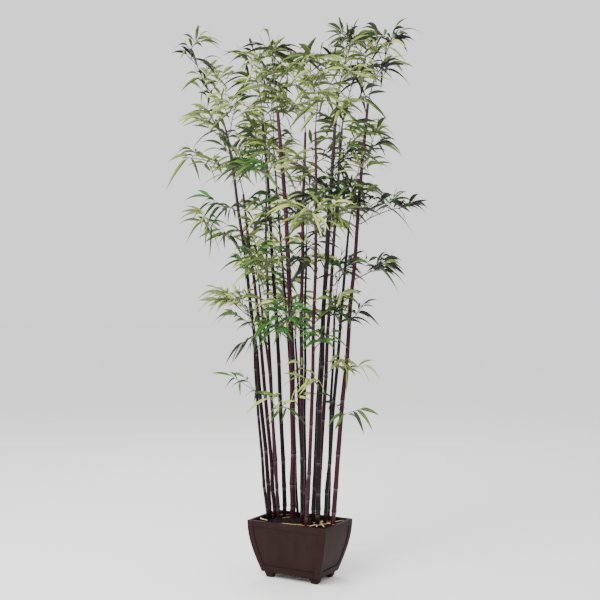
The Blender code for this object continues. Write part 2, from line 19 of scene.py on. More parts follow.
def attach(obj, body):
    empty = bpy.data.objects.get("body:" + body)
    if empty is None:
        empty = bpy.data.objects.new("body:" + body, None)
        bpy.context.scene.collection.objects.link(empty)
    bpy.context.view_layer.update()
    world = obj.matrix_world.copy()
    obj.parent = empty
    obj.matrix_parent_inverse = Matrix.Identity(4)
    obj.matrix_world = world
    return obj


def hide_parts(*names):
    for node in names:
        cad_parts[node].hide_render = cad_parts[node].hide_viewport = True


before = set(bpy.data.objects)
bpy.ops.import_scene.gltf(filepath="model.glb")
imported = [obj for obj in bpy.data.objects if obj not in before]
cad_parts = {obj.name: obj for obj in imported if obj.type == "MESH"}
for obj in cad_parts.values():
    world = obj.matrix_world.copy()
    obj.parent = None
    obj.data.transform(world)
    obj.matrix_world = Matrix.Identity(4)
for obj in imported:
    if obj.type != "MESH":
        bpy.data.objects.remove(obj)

log = logging.getLogger("bamboo")

MM = 0.001
UP = Vector((0, 0, 1))
BODY = "root"

# The canes are laid out as seen from one corner of the planter: right and back of its centre.
VIEW_TURN = math.radians(29.7)
RIGHT = Vector((math.cos(VIEW_TURN), math.sin(VIEW_TURN), 0))
BACK = Vector((-math.sin(VIEW_TURN), math.cos(VIEW_TURN), 0))


def placed(right: float, back: float, height: float) -> Vector:
    """The point this far right and back of the planter's centre, at this height."""
    return RIGHT * right + BACK * back + UP * height


def heading(bearing: float, rise: float) -> Vector:
    """The direction at a bearing from right towards back, this far above level, both in degrees."""
    turn, lift = math.radians(bearing), math.radians(rise)
    level = RIGHT * math.cos(turn) + BACK * math.sin(turn)
    return level * math.cos(lift) + UP * math.sin(lift)


def bearing_of(direction: Vector) -> float:
    """The bearing in degrees of a direction, from right towards back."""
    return math.degrees(math.atan2(direction.dot(BACK), direction.dot(RIGHT)))


def rise_of(direction: Vector) -> float:
    """How far a direction rises above level, in degrees."""
    return math.degrees(math.asin(max(-1.0, min(1.0, direction.z))))


def linear(hex_colour: str) -> tuple[float, float, float, float]:
    """An sRGB hex colour as the linear colour that the shaders take."""
    channels = [int(hex_colour[i : i + 2], 16) / 255 for i in (1, 3, 5)]
    red, green, blue = (c / 12.92 if c <= 0.04045 else ((c + 0.055) / 1.055) ** 2.4 for c in channels)
    return red, green, blue, 1.0


def add_node(tree: bpy.types.NodeTree, kind: str, links: dict | None = None, **settings) -> bpy.types.Node:
    """Adds one node.

    Args:
        tree: The material's or the geometry's node tree.
        kind: The node's type.
        links: For each input, by name or number, a socket to link or a value to set.
        settings: The node's own settings.

    Returns:
        The node.
    """
    node = tree.nodes.new(kind)
    for name, value in settings.items():
        setattr(node, name, value)
    for socket, value in (links or {}).items():
        if isinstance(value, bpy.types.NodeSocket):
            tree.links.new(value, node.inputs[socket])
        else:
            node.inputs[socket].default_value = value
    return node


def new_tree(name: str, inputs: dict[str, str]) -> tuple[bpy.types.NodeTree, bpy.types.Node]:
    """A geometry tree with named inputs, from name to socket type, and its input node."""
    tree = bpy.data.node_groups.new(name, "GeometryNodeTree")
    tree.interface.new_socket("Geometry", in_out="OUTPUT", socket_type="NodeSocketGeometry")
    tree.interface.new_socket("Geometry", in_out="INPUT", socket_type="NodeSocketGeometry")
    for label, socket_type in inputs.items():
        tree.interface.new_socket(label, in_out="INPUT", socket_type=socket_type)
    return tree, tree.nodes.new("NodeGroupInput")


def named(tree: bpy.types.NodeTree, name: str, data_type: str = "FLOAT") -> bpy.types.NodeSocket:
    """The socket that gives a named attribute."""
    return add_node(tree, "GeometryNodeInputNamedAttribute", {"Name": name}, data_type=data_type).outputs[0]


def new_object(name: str, mesh: bpy.types.Mesh) -> bpy.types.Object:
    """An object at the origin that holds the mesh, in the scene."""
    made = bpy.data.objects.new(name, mesh)
    bpy.context.scene.collection.objects.link(made)
    return made


def mesh_of(name: str, built: bmesh.types.BMesh, smooth: bool = True) -> bpy.types.Mesh:
    """The bmesh as a mesh with its faces shaded smooth or flat. The bmesh is freed."""
    for face in built.faces:
        face.smooth = smooth
    mesh = bpy.data.meshes.new(name)
    built.to_mesh(mesh)
    built.free()
    return mesh


def baked(name: str, source: bpy.types.Object) -> bpy.types.Object:
    """A plain mesh object of what the source evaluates to. The source is removed."""
    graph = bpy.context.evaluated_depsgraph_get()
    mesh = bpy.data.meshes.new_from_object(
        source.evaluated_get(graph), preserve_all_data_layers=True, depsgraph=graph
    )
    mesh.name = name
    bpy.data.objects.remove(source)
    return new_object(name, mesh)


def grown(name: str, base: bpy.types.Mesh, tree: bpy.types.NodeTree, inputs: dict) -> bpy.types.Object:
    """Runs a geometry tree on a mesh.

    Args:
        name: The new piece's name.
        base: The mesh that the tree starts from.
        tree: The geometry tree.
        inputs: Its inputs by their names.

    Returns:
        The result as a plain mesh object.
    """
    carrier = new_object(f"{name}_base", base)
    modifier = carrier.modifiers.new("growth", "NODES")
    modifier.node_group = tree
    for item in tree.interface.items_tree:
        if item.in_out == "INPUT" and item.name in inputs:
            modifier[item.identifier] = inputs[item.name]
    bpy.context.view_layer.update()
    return baked(name, carrier)


def hand_over(piece: bpy.types.Object, slot: str | None, *nodes: str) -> None:
    """Makes a finished piece ride on the plant's body, in place of these nodes, and logs it."""
    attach(piece, BODY)
    if nodes:
        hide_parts(*nodes)
    triangles = sum(len(polygon.vertices) - 2 for polygon in piece.data.polygons)
    log.info("%s: %d triangles", piece.name, triangles)


def new_finish(name: str) -> tuple[bpy.types.Material, bpy.types.NodeTree, bpy.types.Node]:
    """A new material with its tree and its Principled shader."""
    material = bpy.data.materials.new(name)
    material.use_nodes = True
    return material, material.node_tree, material.node_tree.nodes["Principled BSDF"]


@dataclass(frozen=True)
class StainedWood:
    """Rubberwood boards, planed, stained espresso and sprayed with a satin lacquer.

    The stain leaves the grain a shade apart, and the lacquer gives a broad soft highlight.
    """

    name: str = "espresso_stained_rubberwood"
    dark: str = "#1c1211"
    light: str = "#30201e"
    grain_across: float = 1.8 * MM
    grain_along: float = 60 * MM
    pore_across: float = 0.6 * MM
    pore_along: float = 9 * MM
    blotch: float = 55 * MM

    def material(self) -> bpy.types.Material:
        """Builds the material, which reads the grain UV map: across, then along, in metres."""
        material, tree, shader = new_finish(self.name)
        grain = add_node(tree, "ShaderNodeUVMap", uv_map="grain").outputs[0]
        stretch = add_node(
            tree, "ShaderNodeMapping", {0: grain, "Scale": (1 / self.grain_across, 1 / self.grain_along, 1)}
        ).outputs[0]
        figure = add_node(tree, "ShaderNodeTexNoise", {"Vector": stretch, "Scale": 1.0, "Detail": 4.0})
        broad = add_node(
            tree, "ShaderNodeMapping", {0: grain, "Scale": (1 / self.blotch, 1 / (2 * self.blotch), 1)}
        ).outputs[0]
        cloud = add_node(tree, "ShaderNodeTexNoise", {"Vector": broad, "Scale": 1.0, "Detail": 2.0})
        blend = add_node(
            tree, "ShaderNodeMix", {0: 0.62, 2: figure.outputs[0], 3: cloud.outputs[0]}, data_type="FLOAT"
        )
        spread = add_node(
            tree, "ShaderNodeMapRange", {0: blend.outputs[0], 1: 0.2, 2: 0.8}, clamp=True
        ).outputs[0]
        colour = add_node(
            tree,
            "ShaderNodeMix",
            {0: spread, 6: linear(self.dark), 7: linear(self.light)},
            data_type="RGBA",
        ).outputs[2]
        tree.links.new(colour, shader.inputs["Base Color"])
        pores_at = add_node(
            tree, "ShaderNodeMapping", {0: grain, "Scale": (1 / self.pore_across, 1 / self.pore_along, 1)}
        ).outputs[0]
        pores = add_node(tree, "ShaderNodeTexNoise", {"Vector": pores_at, "Scale": 1.0, "Detail": 1.0})
        bump = add_node(
            tree, "ShaderNodeBump", {"Strength": 0.25, "Distance": 0.15 * MM, "Height": pores.outputs[0]}
        )
        tree.links.new(bump.outputs[0], shader.inputs["Normal"])
        rough = add_node(
            tree, "ShaderNodeMapRange", {0: cloud.outputs[0], 1: 0.3, 2: 0.7, 3: 0.44, 4: 0.56}
        ).outputs[0]
        tree.links.new(rough, shader.inputs["Roughness"])
        shader.inputs["Specular IOR Level"].default_value = 0.055
        return material


@dataclass(frozen=True)
class CaneSkin:
    """Natural black bamboo culm, dried, wiped with stain and varnished.

    It gives a deep glossy skin with fine lengthwise streaks, a grey waxy bloom under each joint,
    a dark line in the joint's groove, and a silvery grey upper half, which is a painted reflection of the
    gloss.
    """

    name: str
    dark: str
    light: str
    painted_reflection: str
    streak_across: float = 1.2 * MM
    streak_along: float = 90 * MM
    # Above the first height the skin is mixed towards a grey colour, up to this share at the second height:
    # a painted reflection of the gloss on the canes' upper half.
    painted_reflection_from: float = 1.05
    painted_reflection_to: float = 1.75
    most_painted_reflection: float = 0.6
    bloom: str = "#7d7377"
    groove: str = "#0f0b0c"

    def material(self) -> bpy.types.Material:
        """Builds the material, which reads the skin, bloom and groove attributes of the tubes."""
        material, tree, shader = new_finish(self.name)
        skin = add_node(tree, "ShaderNodeAttribute", attribute_name="skin").outputs["Vector"]
        across = 1 / self.streak_across
        stretch = add_node(
            tree, "ShaderNodeMapping", {0: skin, "Scale": (across, across, 1 / self.streak_along)}
        ).outputs[0]
        streaks = add_node(tree, "ShaderNodeTexNoise", {"Vector": stretch, "Scale": 1.0, "Detail": 3.0})
        patch = add_node(
            tree, "ShaderNodeMapping", {0: skin, "Scale": (90, 90, 14)}
        ).outputs[0]
        patches = add_node(tree, "ShaderNodeTexNoise", {"Vector": patch, "Scale": 1.0, "Detail": 2.0})
        shade = add_node(
            tree, "ShaderNodeMix", {0: 0.55, 2: streaks.outputs[0], 3: patches.outputs[0]}, data_type="FLOAT"
        ).outputs[0]
        spread = add_node(tree, "ShaderNodeMapRange", {0: shade, 1: 0.35, 2: 0.65}, clamp=True).outputs[0]
        base = add_node(
            tree,
            "ShaderNodeMix",
            {0: spread, 6: linear(self.dark), 7: linear(self.light)},
            data_type="RGBA",
        ).outputs[2]
        # Painted reflection: with height the skin is mixed towards grey, standing in for the gloss's
        # reflection on the upper half.
        place = add_node(tree, "ShaderNodeTexCoord").outputs["Object"]
        height = add_node(tree, "ShaderNodeSeparateXYZ", {0: place}).outputs["Z"]
        painted_reflection_share = add_node(
            tree,
            "ShaderNodeMapRange",
            {0: height, 1: self.painted_reflection_from, 2: self.painted_reflection_to, 3: 0.0, 4: self.most_painted_reflection},
            clamp=True,
        ).outputs[0]
        painted_reflection = add_node(
            tree, "ShaderNodeMix", {0: painted_reflection_share, 6: base, 7: linear(self.painted_reflection)}, data_type="RGBA"
        ).outputs[2]
        bloom = add_node(tree, "ShaderNodeAttribute", attribute_name="bloom").outputs["Fac"]
        bloomed = add_node(
            tree, "ShaderNodeMix", {0: bloom, 6: painted_reflection, 7: linear(self.bloom)}, data_type="RGBA"
        ).outputs[2]
        groove = add_node(tree, "ShaderNodeAttribute", attribute_name="groove").outputs["Fac"]
        grooved = add_node(
            tree, "ShaderNodeMix", {0: groove, 6: bloomed, 7: linear(self.groove)}, data_type="RGBA"
        ).outputs[2]
        tree.links.new(grooved, shader.inputs["Base Color"])
        bump = add_node(
            tree, "ShaderNodeBump", {"Strength": 0.12, "Distance": 0.2 * MM, "Height": streaks.outputs[0]}
        )
        tree.links.new(bump.outputs[0], shader.inputs["Normal"])
        shader.inputs["Roughness"].default_value = 0.34
        shader.inputs["Specular IOR Level"].default_value = 0.14
        return material


@dataclass(frozen=True)
class TwigBark:
    """Dried bamboo twig over wire, dipped in dark matt paint, which dulls it to a brown-grey."""

    name: str = "painted_twig_bark"
    dark: str = "#2a2222"
    light: str = "#5a4d4c"
    mottle: float = 9 * MM

    def material(self) -> bpy.types.Material:
        """Builds the material from noise on Object coordinates."""
        material, tree, shader = new_finish(self.name)
        place = add_node(tree, "ShaderNodeTexCoord").outputs["Object"]
        mottle = add_node(
            tree, "ShaderNodeTexNoise", {"Vector": place, "Scale": 1 / self.mottle, "Detail": 3.0}
        )
        spread = add_node(tree, "ShaderNodeMapRange", {0: mottle.outputs[0], 1: 0.35, 2: 0.65}).outputs[0]
        colour = add_node(
            tree,
            "ShaderNodeMix",
            {0: spread, 6: linear(self.dark), 7: linear(self.light)},
            data_type="RGBA",
        ).outputs[2]
        tree.links.new(colour, shader.inputs["Base Color"])
        bump = add_node(
            tree, "ShaderNodeBump", {"Strength": 0.4, "Distance": 0.3 * MM, "Height": mottle.outputs[0]}
        )
        tree.links.new(bump.outputs[0], shader.inputs["Normal"])
        shader.inputs["Roughness"].default_value = 0.55
        return material


@dataclass(frozen=True)
class LeafCloth:
    """Printed polyester leaf cloth, heat-pressed with fine lengthwise veins.

    The press leaves a soft sheen and a hardly raised midrib, and the print is uneven by a shade.
    """

    name: str
    colour: str
    shade_apart: float = 0.72
    mottle: float = 28 * MM
    vein_spacing: float = 1.1 * MM

    def material(self) -> bpy.types.Material:
        """Builds the material, which reads the blade attribute for its midrib and veins."""
        material, tree, shader = new_finish(self.name)
        place = add_node(tree, "ShaderNodeTexCoord").outputs["Object"]
        mottle = add_node(
            tree, "ShaderNodeTexNoise", {"Vector": place, "Scale": 1 / self.mottle, "Detail": 2.0}
        )
        spread = add_node(
            tree, "ShaderNodeMapRange", {0: mottle.outputs[0], 1: 0.35, 2: 0.65}, clamp=True
        ).outputs[0]
        light = linear(self.colour)
        dark = tuple(channel * self.shade_apart for channel in light[:3]) + (1.0,)
        printed = add_node(
            tree, "ShaderNodeMix", {0: spread, 6: dark, 7: light}, data_type="RGBA"
        ).outputs[2]
        blade = add_node(tree, "ShaderNodeAttribute", attribute_name="blade").outputs["Vector"]
        across = add_node(tree, "ShaderNodeSeparateXYZ", {0: blade}).outputs["X"]
        off_rib = add_node(tree, "ShaderNodeMath", {0: across}, operation="ABSOLUTE").outputs[0]
        rib = add_node(
            tree, "ShaderNodeMapRange", {0: off_rib, 1: 0.0, 2: 0.16, 3: 0.35, 4: 0.0}, clamp=True
        ).outputs[0]
        pale = tuple(min(1.0, channel * 1.7 + 0.02) for channel in light[:3]) + (1.0,)
        ribbed = add_node(
            tree, "ShaderNodeMix", {0: rib, 6: printed, 7: pale}, data_type="RGBA"
        ).outputs[2]
        tree.links.new(ribbed, shader.inputs["Base Color"])
        veins = add_node(
            tree,
            "ShaderNodeMath",
            {0: across, 1: 18 * MM / 2 / self.vein_spacing * math.tau},
            operation="MULTIPLY",
        ).outputs[0]
        ridges = add_node(tree, "ShaderNodeMath", {0: veins}, operation="SINE").outputs[0]
        bump = add_node(
            tree, "ShaderNodeBump", {"Strength": 0.25, "Distance": 0.15 * MM, "Height": ridges}
        )
        tree.links.new(bump.outputs[0], shader.inputs["Normal"])
        shader.inputs["Roughness"].default_value = 0.55
        shader.inputs["Specular IOR Level"].default_value = 0.3
        return material


@dataclass(frozen=True)
class PottingPeat:
    """Dyed peat and bark crumbs glued over foam: near black, matt and lumpy."""

    name: str = "dark_peat_crumbs"
    dark: str = "#0b0908"
    light: str = "#1f1917"
    crumb: float = 4 * MM

    def material(self) -> bpy.types.Material:
        """Builds the material from noise on Object coordinates."""
        material, tree, shader = new_finish(self.name)
        place = add_node(tree, "ShaderNodeTexCoord").outputs["Object"]
        lumps = add_node(
            tree, "ShaderNodeTexNoise", {"Vector": place, "Scale": 1 / self.crumb, "Detail": 4.0}
        )
        spread = add_node(
            tree, "ShaderNodeMapRange", {0: lumps.outputs[0], 1: 0.38, 2: 0.68}, clamp=True
        ).outputs[0]
        colour = add_node(
            tree,
            "ShaderNodeMix",
            {0: spread, 6: linear(self.dark), 7: linear(self.light)},
            data_type="RGBA",
        ).outputs[2]
        tree.links.new(colour, shader.inputs["Base Color"])
        bump = add_node(
            tree, "ShaderNodeBump", {"Strength": 0.8, "Distance": 1.2 * MM, "Height": lumps.outputs[0]}
        )
        tree.links.new(bump.outputs[0], shader.inputs["Normal"])
        shader.inputs["Roughness"].default_value = 0.92
        shader.inputs["Specular IOR Level"].default_value = 0.15
        return material


@dataclass(frozen=True)
class WoodWool:
    """Excelsior, thin ribbons shaved from softwood and dyed tan to orange, with a dry silky face."""

    name: str
    dark: str
    light: str
    fibre_across: float = 0.5 * MM
    fibre_along: float = 14 * MM

    def material(self) -> bpy.types.Material:
        """Builds the material, which reads the skin attribute of the ribbons."""
        material, tree, shader = new_finish(self.name)
        skin = add_node(tree, "ShaderNodeAttribute", attribute_name="skin").outputs["Vector"]
        across = 1 / self.fibre_across
        stretch = add_node(
            tree, "ShaderNodeMapping", {0: skin, "Scale": (across, across, 1 / self.fibre_along)}
        ).outputs[0]
        fibres = add_node(tree, "ShaderNodeTexNoise", {"Vector": stretch, "Scale": 1.0, "Detail": 2.0})
        spread = add_node(
            tree, "ShaderNodeMapRange", {0: fibres.outputs[0], 1: 0.35, 2: 0.65}, clamp=True
        ).outputs[0]
        colour = add_node(
            tree,
            "ShaderNodeMix",
            {0: spread, 6: linear(self.dark), 7: linear(self.light)},
            data_type="RGBA",
        ).outputs[2]
        tree.links.new(colour, shader.inputs["Base Color"])
        bump = add_node(
            tree, "ShaderNodeBump", {"Strength": 0.4, "Distance": 0.1 * MM, "Height": fibres.outputs[0]}
        )
        tree.links.new(bump.outputs[0], shader.inputs["Normal"])
        shader.inputs["Roughness"].default_value = 0.6
        return material


class Tone(Enum):
    """The colours that the leaves are printed in, each with a darker colour for their backs, which is
    painted shade on the undersides.
    """

    SAGE = (LeafCloth("sage_leaf_cloth", "#b0bd66"), LeafCloth("sage_leaf_back", "#7c8a4c"))
    OLIVE = (LeafCloth("olive_leaf_cloth", "#7f9342"), LeafCloth("olive_leaf_back", "#536330"))
    MOSS = (LeafCloth("moss_leaf_cloth", "#54702f"), LeafCloth("moss_leaf_back", "#354722"))
    FRESH = (LeafCloth("fresh_green_leaf_cloth", "#3c7026"), LeafCloth("fresh_green_leaf_back", "#2a4f1c"))
    DEEP = (LeafCloth("deep_green_leaf_cloth", "#2b4a1f"), LeafCloth("deep_green_leaf_back", "#1a2915"))
    # The near-black tone is painted shade: whole leaves coloured as if they stood in shadow.
    NIGHT = (LeafCloth("night_green_leaf_cloth", "#1c2217"), LeafCloth("night_green_leaf_back", "#11140f"))


class Palette(Enum):
    """The mixes of tones that a spray's twigs are dealt from."""

    PALE = (Tone.SAGE, Tone.SAGE, Tone.OLIVE)
    WARM = (Tone.SAGE, Tone.OLIVE, Tone.MOSS)
    FRESH = (Tone.FRESH, Tone.FRESH, Tone.MOSS)
    DEEP = (Tone.DEEP, Tone.MOSS, Tone.NIGHT)
    MIXED = (Tone.OLIVE, Tone.DEEP, Tone.SAGE, Tone.NIGHT)
    SHADY = (Tone.NIGHT, Tone.OLIVE, Tone.NIGHT, Tone.MOSS)


def tube_tree() -> bpy.types.NodeTree:
    """The tree that sweeps a round or flattened section along paths of edges.

    Each point of a path has a thick attribute, its radius, and an along attribute, its distance
    from the path's start. The skin attribute that it leaves is the place on the section, then along.
    """
    tree, start = new_tree(
        "tube_along_paths",
        {"Sides": "NodeSocketInt", "Flatness": "NodeSocketFloat", "Finish": "NodeSocketMaterial"},
    )
    paths = add_node(tree, "GeometryNodeMeshToCurve", {"Mesh": start.outputs["Geometry"]})
    circle = add_node(
        tree, "GeometryNodeCurvePrimitiveCircle", {"Resolution": start.outputs["Sides"], "Radius": 1.0}
    )
    squeeze = add_node(tree, "ShaderNodeCombineXYZ", {0: 1.0, 1: start.outputs["Flatness"], 2: 1.0})
    section = add_node(tree, "GeometryNodeTransform", {0: circle.outputs[0], "Scale": squeeze.outputs[0]})
    here = add_node(tree, "GeometryNodeInputPosition")
    marked = add_node(
        tree,
        "GeometryNodeStoreNamedAttribute",
        {"Geometry": section.outputs[0], "Name": "section", "Value": here.outputs[0]},
        data_type="FLOAT_VECTOR",
        domain="POINT",
    )
    swept = add_node(
        tree,
        "GeometryNodeCurveToMesh",
        {
            "Curve": paths.outputs[0],
            "Profile Curve": marked.outputs[0],
            "Scale": named(tree, "thick"),
            "Fill Caps": True,
        },
    )
    place = add_node(tree, "ShaderNodeSeparateXYZ", {0: named(tree, "section", "FLOAT_VECTOR")})
    sizes = [
        add_node(
            tree, "ShaderNodeMath", {0: place.outputs[axis], 1: named(tree, "thick")}, operation="MULTIPLY"
        ).outputs[0]
        for axis in (0, 1)
    ]
    skin = add_node(tree, "ShaderNodeCombineXYZ", {0: sizes[0], 1: sizes[1], 2: named(tree, "along")})
    kept = add_node(
        tree,
        "GeometryNodeStoreNamedAttribute",
        {"Geometry": swept.outputs[0], "Name": "skin", "Value": skin.outputs[0]},
        data_type="FLOAT_VECTOR",
        domain="POINT",
    )
    smooth = add_node(tree, "GeometryNodeSetShadeSmooth", {"Geometry": kept.outputs[0]})
    whole = add_node(tree, "GeometryNodeRealizeInstances", {"Geometry": smooth.outputs[0]})
    dressed = add_node(
        tree, "GeometryNodeSetMaterial", {"Geometry": whole.outputs[0], "Material": start.outputs["Finish"]}
    )
    add_node(tree, "NodeGroupOutput", {0: dressed.outputs[0]})
    return tree


def leaf_tree() -> bpy.types.NodeTree:
    """The tree that sets a leaf blade on each point, and bends it.

    A point's direction and side attributes turn its blade, its size scales it, and its bend is how
    far the tip is carried off: each part of the blade goes with the square of its share along it.
    """
    tree, start = new_tree(
        "leaves_on_points",
        {
            "Blade": "NodeSocketObject",
            "Upper Finish": "NodeSocketMaterial",
            "Under Finish": "NodeSocketMaterial",
        },
    )
    blade = add_node(tree, "GeometryNodeObjectInfo", {"Object": start.outputs["Blade"]})
    turn = add_node(
        tree,
        "FunctionNodeAxesToRotation",
        {0: named(tree, "direction", "FLOAT_VECTOR"), 1: named(tree, "side", "FLOAT_VECTOR")},
        primary_axis="Y",
        secondary_axis="X",
    )
    points = add_node(tree, "GeometryNodeMeshToPoints", {"Mesh": start.outputs["Geometry"]})
    leaves = add_node(
        tree,
        "GeometryNodeInstanceOnPoints",
        {
            "Points": points.outputs[0],
            "Instance": blade.outputs["Geometry"],
            "Rotation": turn.outputs[0],
            "Scale": named(tree, "size", "FLOAT_VECTOR"),
        },
    )
    whole = add_node(tree, "GeometryNodeRealizeInstances", {"Geometry": leaves.outputs[0]})
    along = add_node(
        tree, "ShaderNodeSeparateXYZ", {0: named(tree, "blade", "FLOAT_VECTOR")}
    ).outputs["Y"]
    square = add_node(tree, "ShaderNodeMath", {0: along, 1: along}, operation="MULTIPLY")
    carried = add_node(
        tree,
        "ShaderNodeVectorMath",
        {0: named(tree, "bend", "FLOAT_VECTOR"), "Scale": square.outputs[0]},
        operation="SCALE",
    )
    bent = add_node(
        tree, "GeometryNodeSetPosition", {"Geometry": whole.outputs[0], "Offset": carried.outputs[0]}
    )
    smooth = add_node(tree, "GeometryNodeSetShadeSmooth", {"Geometry": bent.outputs[0]})
    upper = add_node(
        tree,
        "GeometryNodeSetMaterial",
        {"Geometry": smooth.outputs[0], "Material": start.outputs["Upper Finish"]},
    )
    # The undersides take the darker finish: painted shade, on top of the shade that the light gives them.
    under = add_node(
        tree,
        "GeometryNodeSetMaterial",
        {
            "Geometry": upper.outputs[0],
            "Selection": named(tree, "underneath", "BOOLEAN"),
            "Material": start.outputs["Under Finish"],
        },
    )
    add_node(tree, "NodeGroupOutput", {0: under.outputs[0]})
    return tree


def crumb_tree() -> bpy.types.NodeTree:
    """The tree that strews lumps over a surface, each turned and sized at random."""
    tree, start = new_tree(
        "crumbs_on_surface",
        {"Density": "NodeSocketFloat", "Crumb Size": "NodeSocketFloat", "Finish": "NodeSocketMaterial"},
    )
    strewn = add_node(
        tree,
        "GeometryNodeDistributePointsOnFaces",
        {"Mesh": start.outputs["Geometry"], "Density": start.outputs["Density"], "Seed": 11},
    )
    lump = add_node(
        tree, "GeometryNodeMeshIcoSphere", {"Radius": start.outputs["Crumb Size"], "Subdivisions": 1}
    )
    turns = add_node(
        tree,
        "FunctionNodeRandomValue",
        {0: (0, 0, 0), 1: (6.3, 6.3, 6.3), "Seed": 3},
        data_type="FLOAT_VECTOR",
    )
    sizes = add_node(
        tree,
        "FunctionNodeRandomValue",
        {0: (0.5, 0.4, 0.3), 1: (1.6, 1.2, 0.8), "Seed": 5},
        data_type="FLOAT_VECTOR",
    )
    crumbs = add_node(
        tree,
        "GeometryNodeInstanceOnPoints",
        {
            "Points": strewn.outputs[0],
            "Instance": lump.outputs[0],
            "Rotation": turns.outputs[0],
            "Scale": sizes.outputs[0],
        },
    )
    whole = add_node(tree, "GeometryNodeRealizeInstances", {"Geometry": crumbs.outputs[0]})
    dressed = add_node(
        tree, "GeometryNodeSetMaterial", {"Geometry": whole.outputs[0], "Material": start.outputs["Finish"]}
    )
    add_node(tree, "NodeGroupOutput", {0: dressed.outputs[0]})
    return tree


@dataclass
class Path:
    """A line of points for the tube tree, with a radius and any other values at each."""

    points: list[Vector] = field(default_factory=list)
    radii: list[float] = field(default_factory=list)
    marks: dict[str, list[float]] = field(default_factory=dict)

    def add(self, point: Vector, radius: float, **marks: float) -> None:
        """Adds a point with its radius and its marks."""
        self.points.append(point)
        self.radii.append(radius)
        for name, value in marks.items():
            self.marks.setdefault(name, []).append(value)

    def distances(self) -> list[float]:
        """How far along the path each point lies."""
        found = [0.0]
        for low, high in zip(self.points, self.points[1:]):
            found.append(found[-1] + (high - low).length)
        return found


def path_mesh(name: str, paths: list[Path]) -> bpy.types.Mesh:
    """A mesh of edges along the paths, with their values as attributes."""
    points, edges = [], []
    values = {"thick": [], "along": [], **{mark: [] for mark in paths[0].marks}}
    for path in paths:
        first = len(points)
        points += path.points
        edges += [(first + i, first + i + 1) for i in range(len(path.points) - 1)]
        values["thick"] += path.radii
        values["along"] += path.distances()
        for mark, numbers in path.marks.items():
            values[mark] += numbers
    mesh = bpy.data.meshes.new(name)
    mesh.from_pydata(points, edges, [])
    for mark, numbers in values.items():
        mesh.attributes.new(mark, "FLOAT", "POINT").data.foreach_set("value", numbers)
    return mesh


def loft(built: bmesh.types.BMesh, sections: list[list[Vector]]) -> None:
    """Adds a closed solid through sections of as many points each, capped at both ends."""
    rings = [[built.verts.new(point) for point in section] for section in sections]
    faces = [built.faces.new(rings[0][::-1]), built.faces.new(rings[-1])]
    for low, high in zip(rings, rings[1:]):
        for i in range(len(low)):
            j = (i + 1) % len(low)
            faces.append(built.faces.new((low[i], low[j], high[j], high[i])))
    bmesh.ops.recalc_face_normals(built, faces=faces)


class Grain(Enum):
    """Which way a board's grain runs."""

    UPRIGHT = 0
    LEVEL = 1


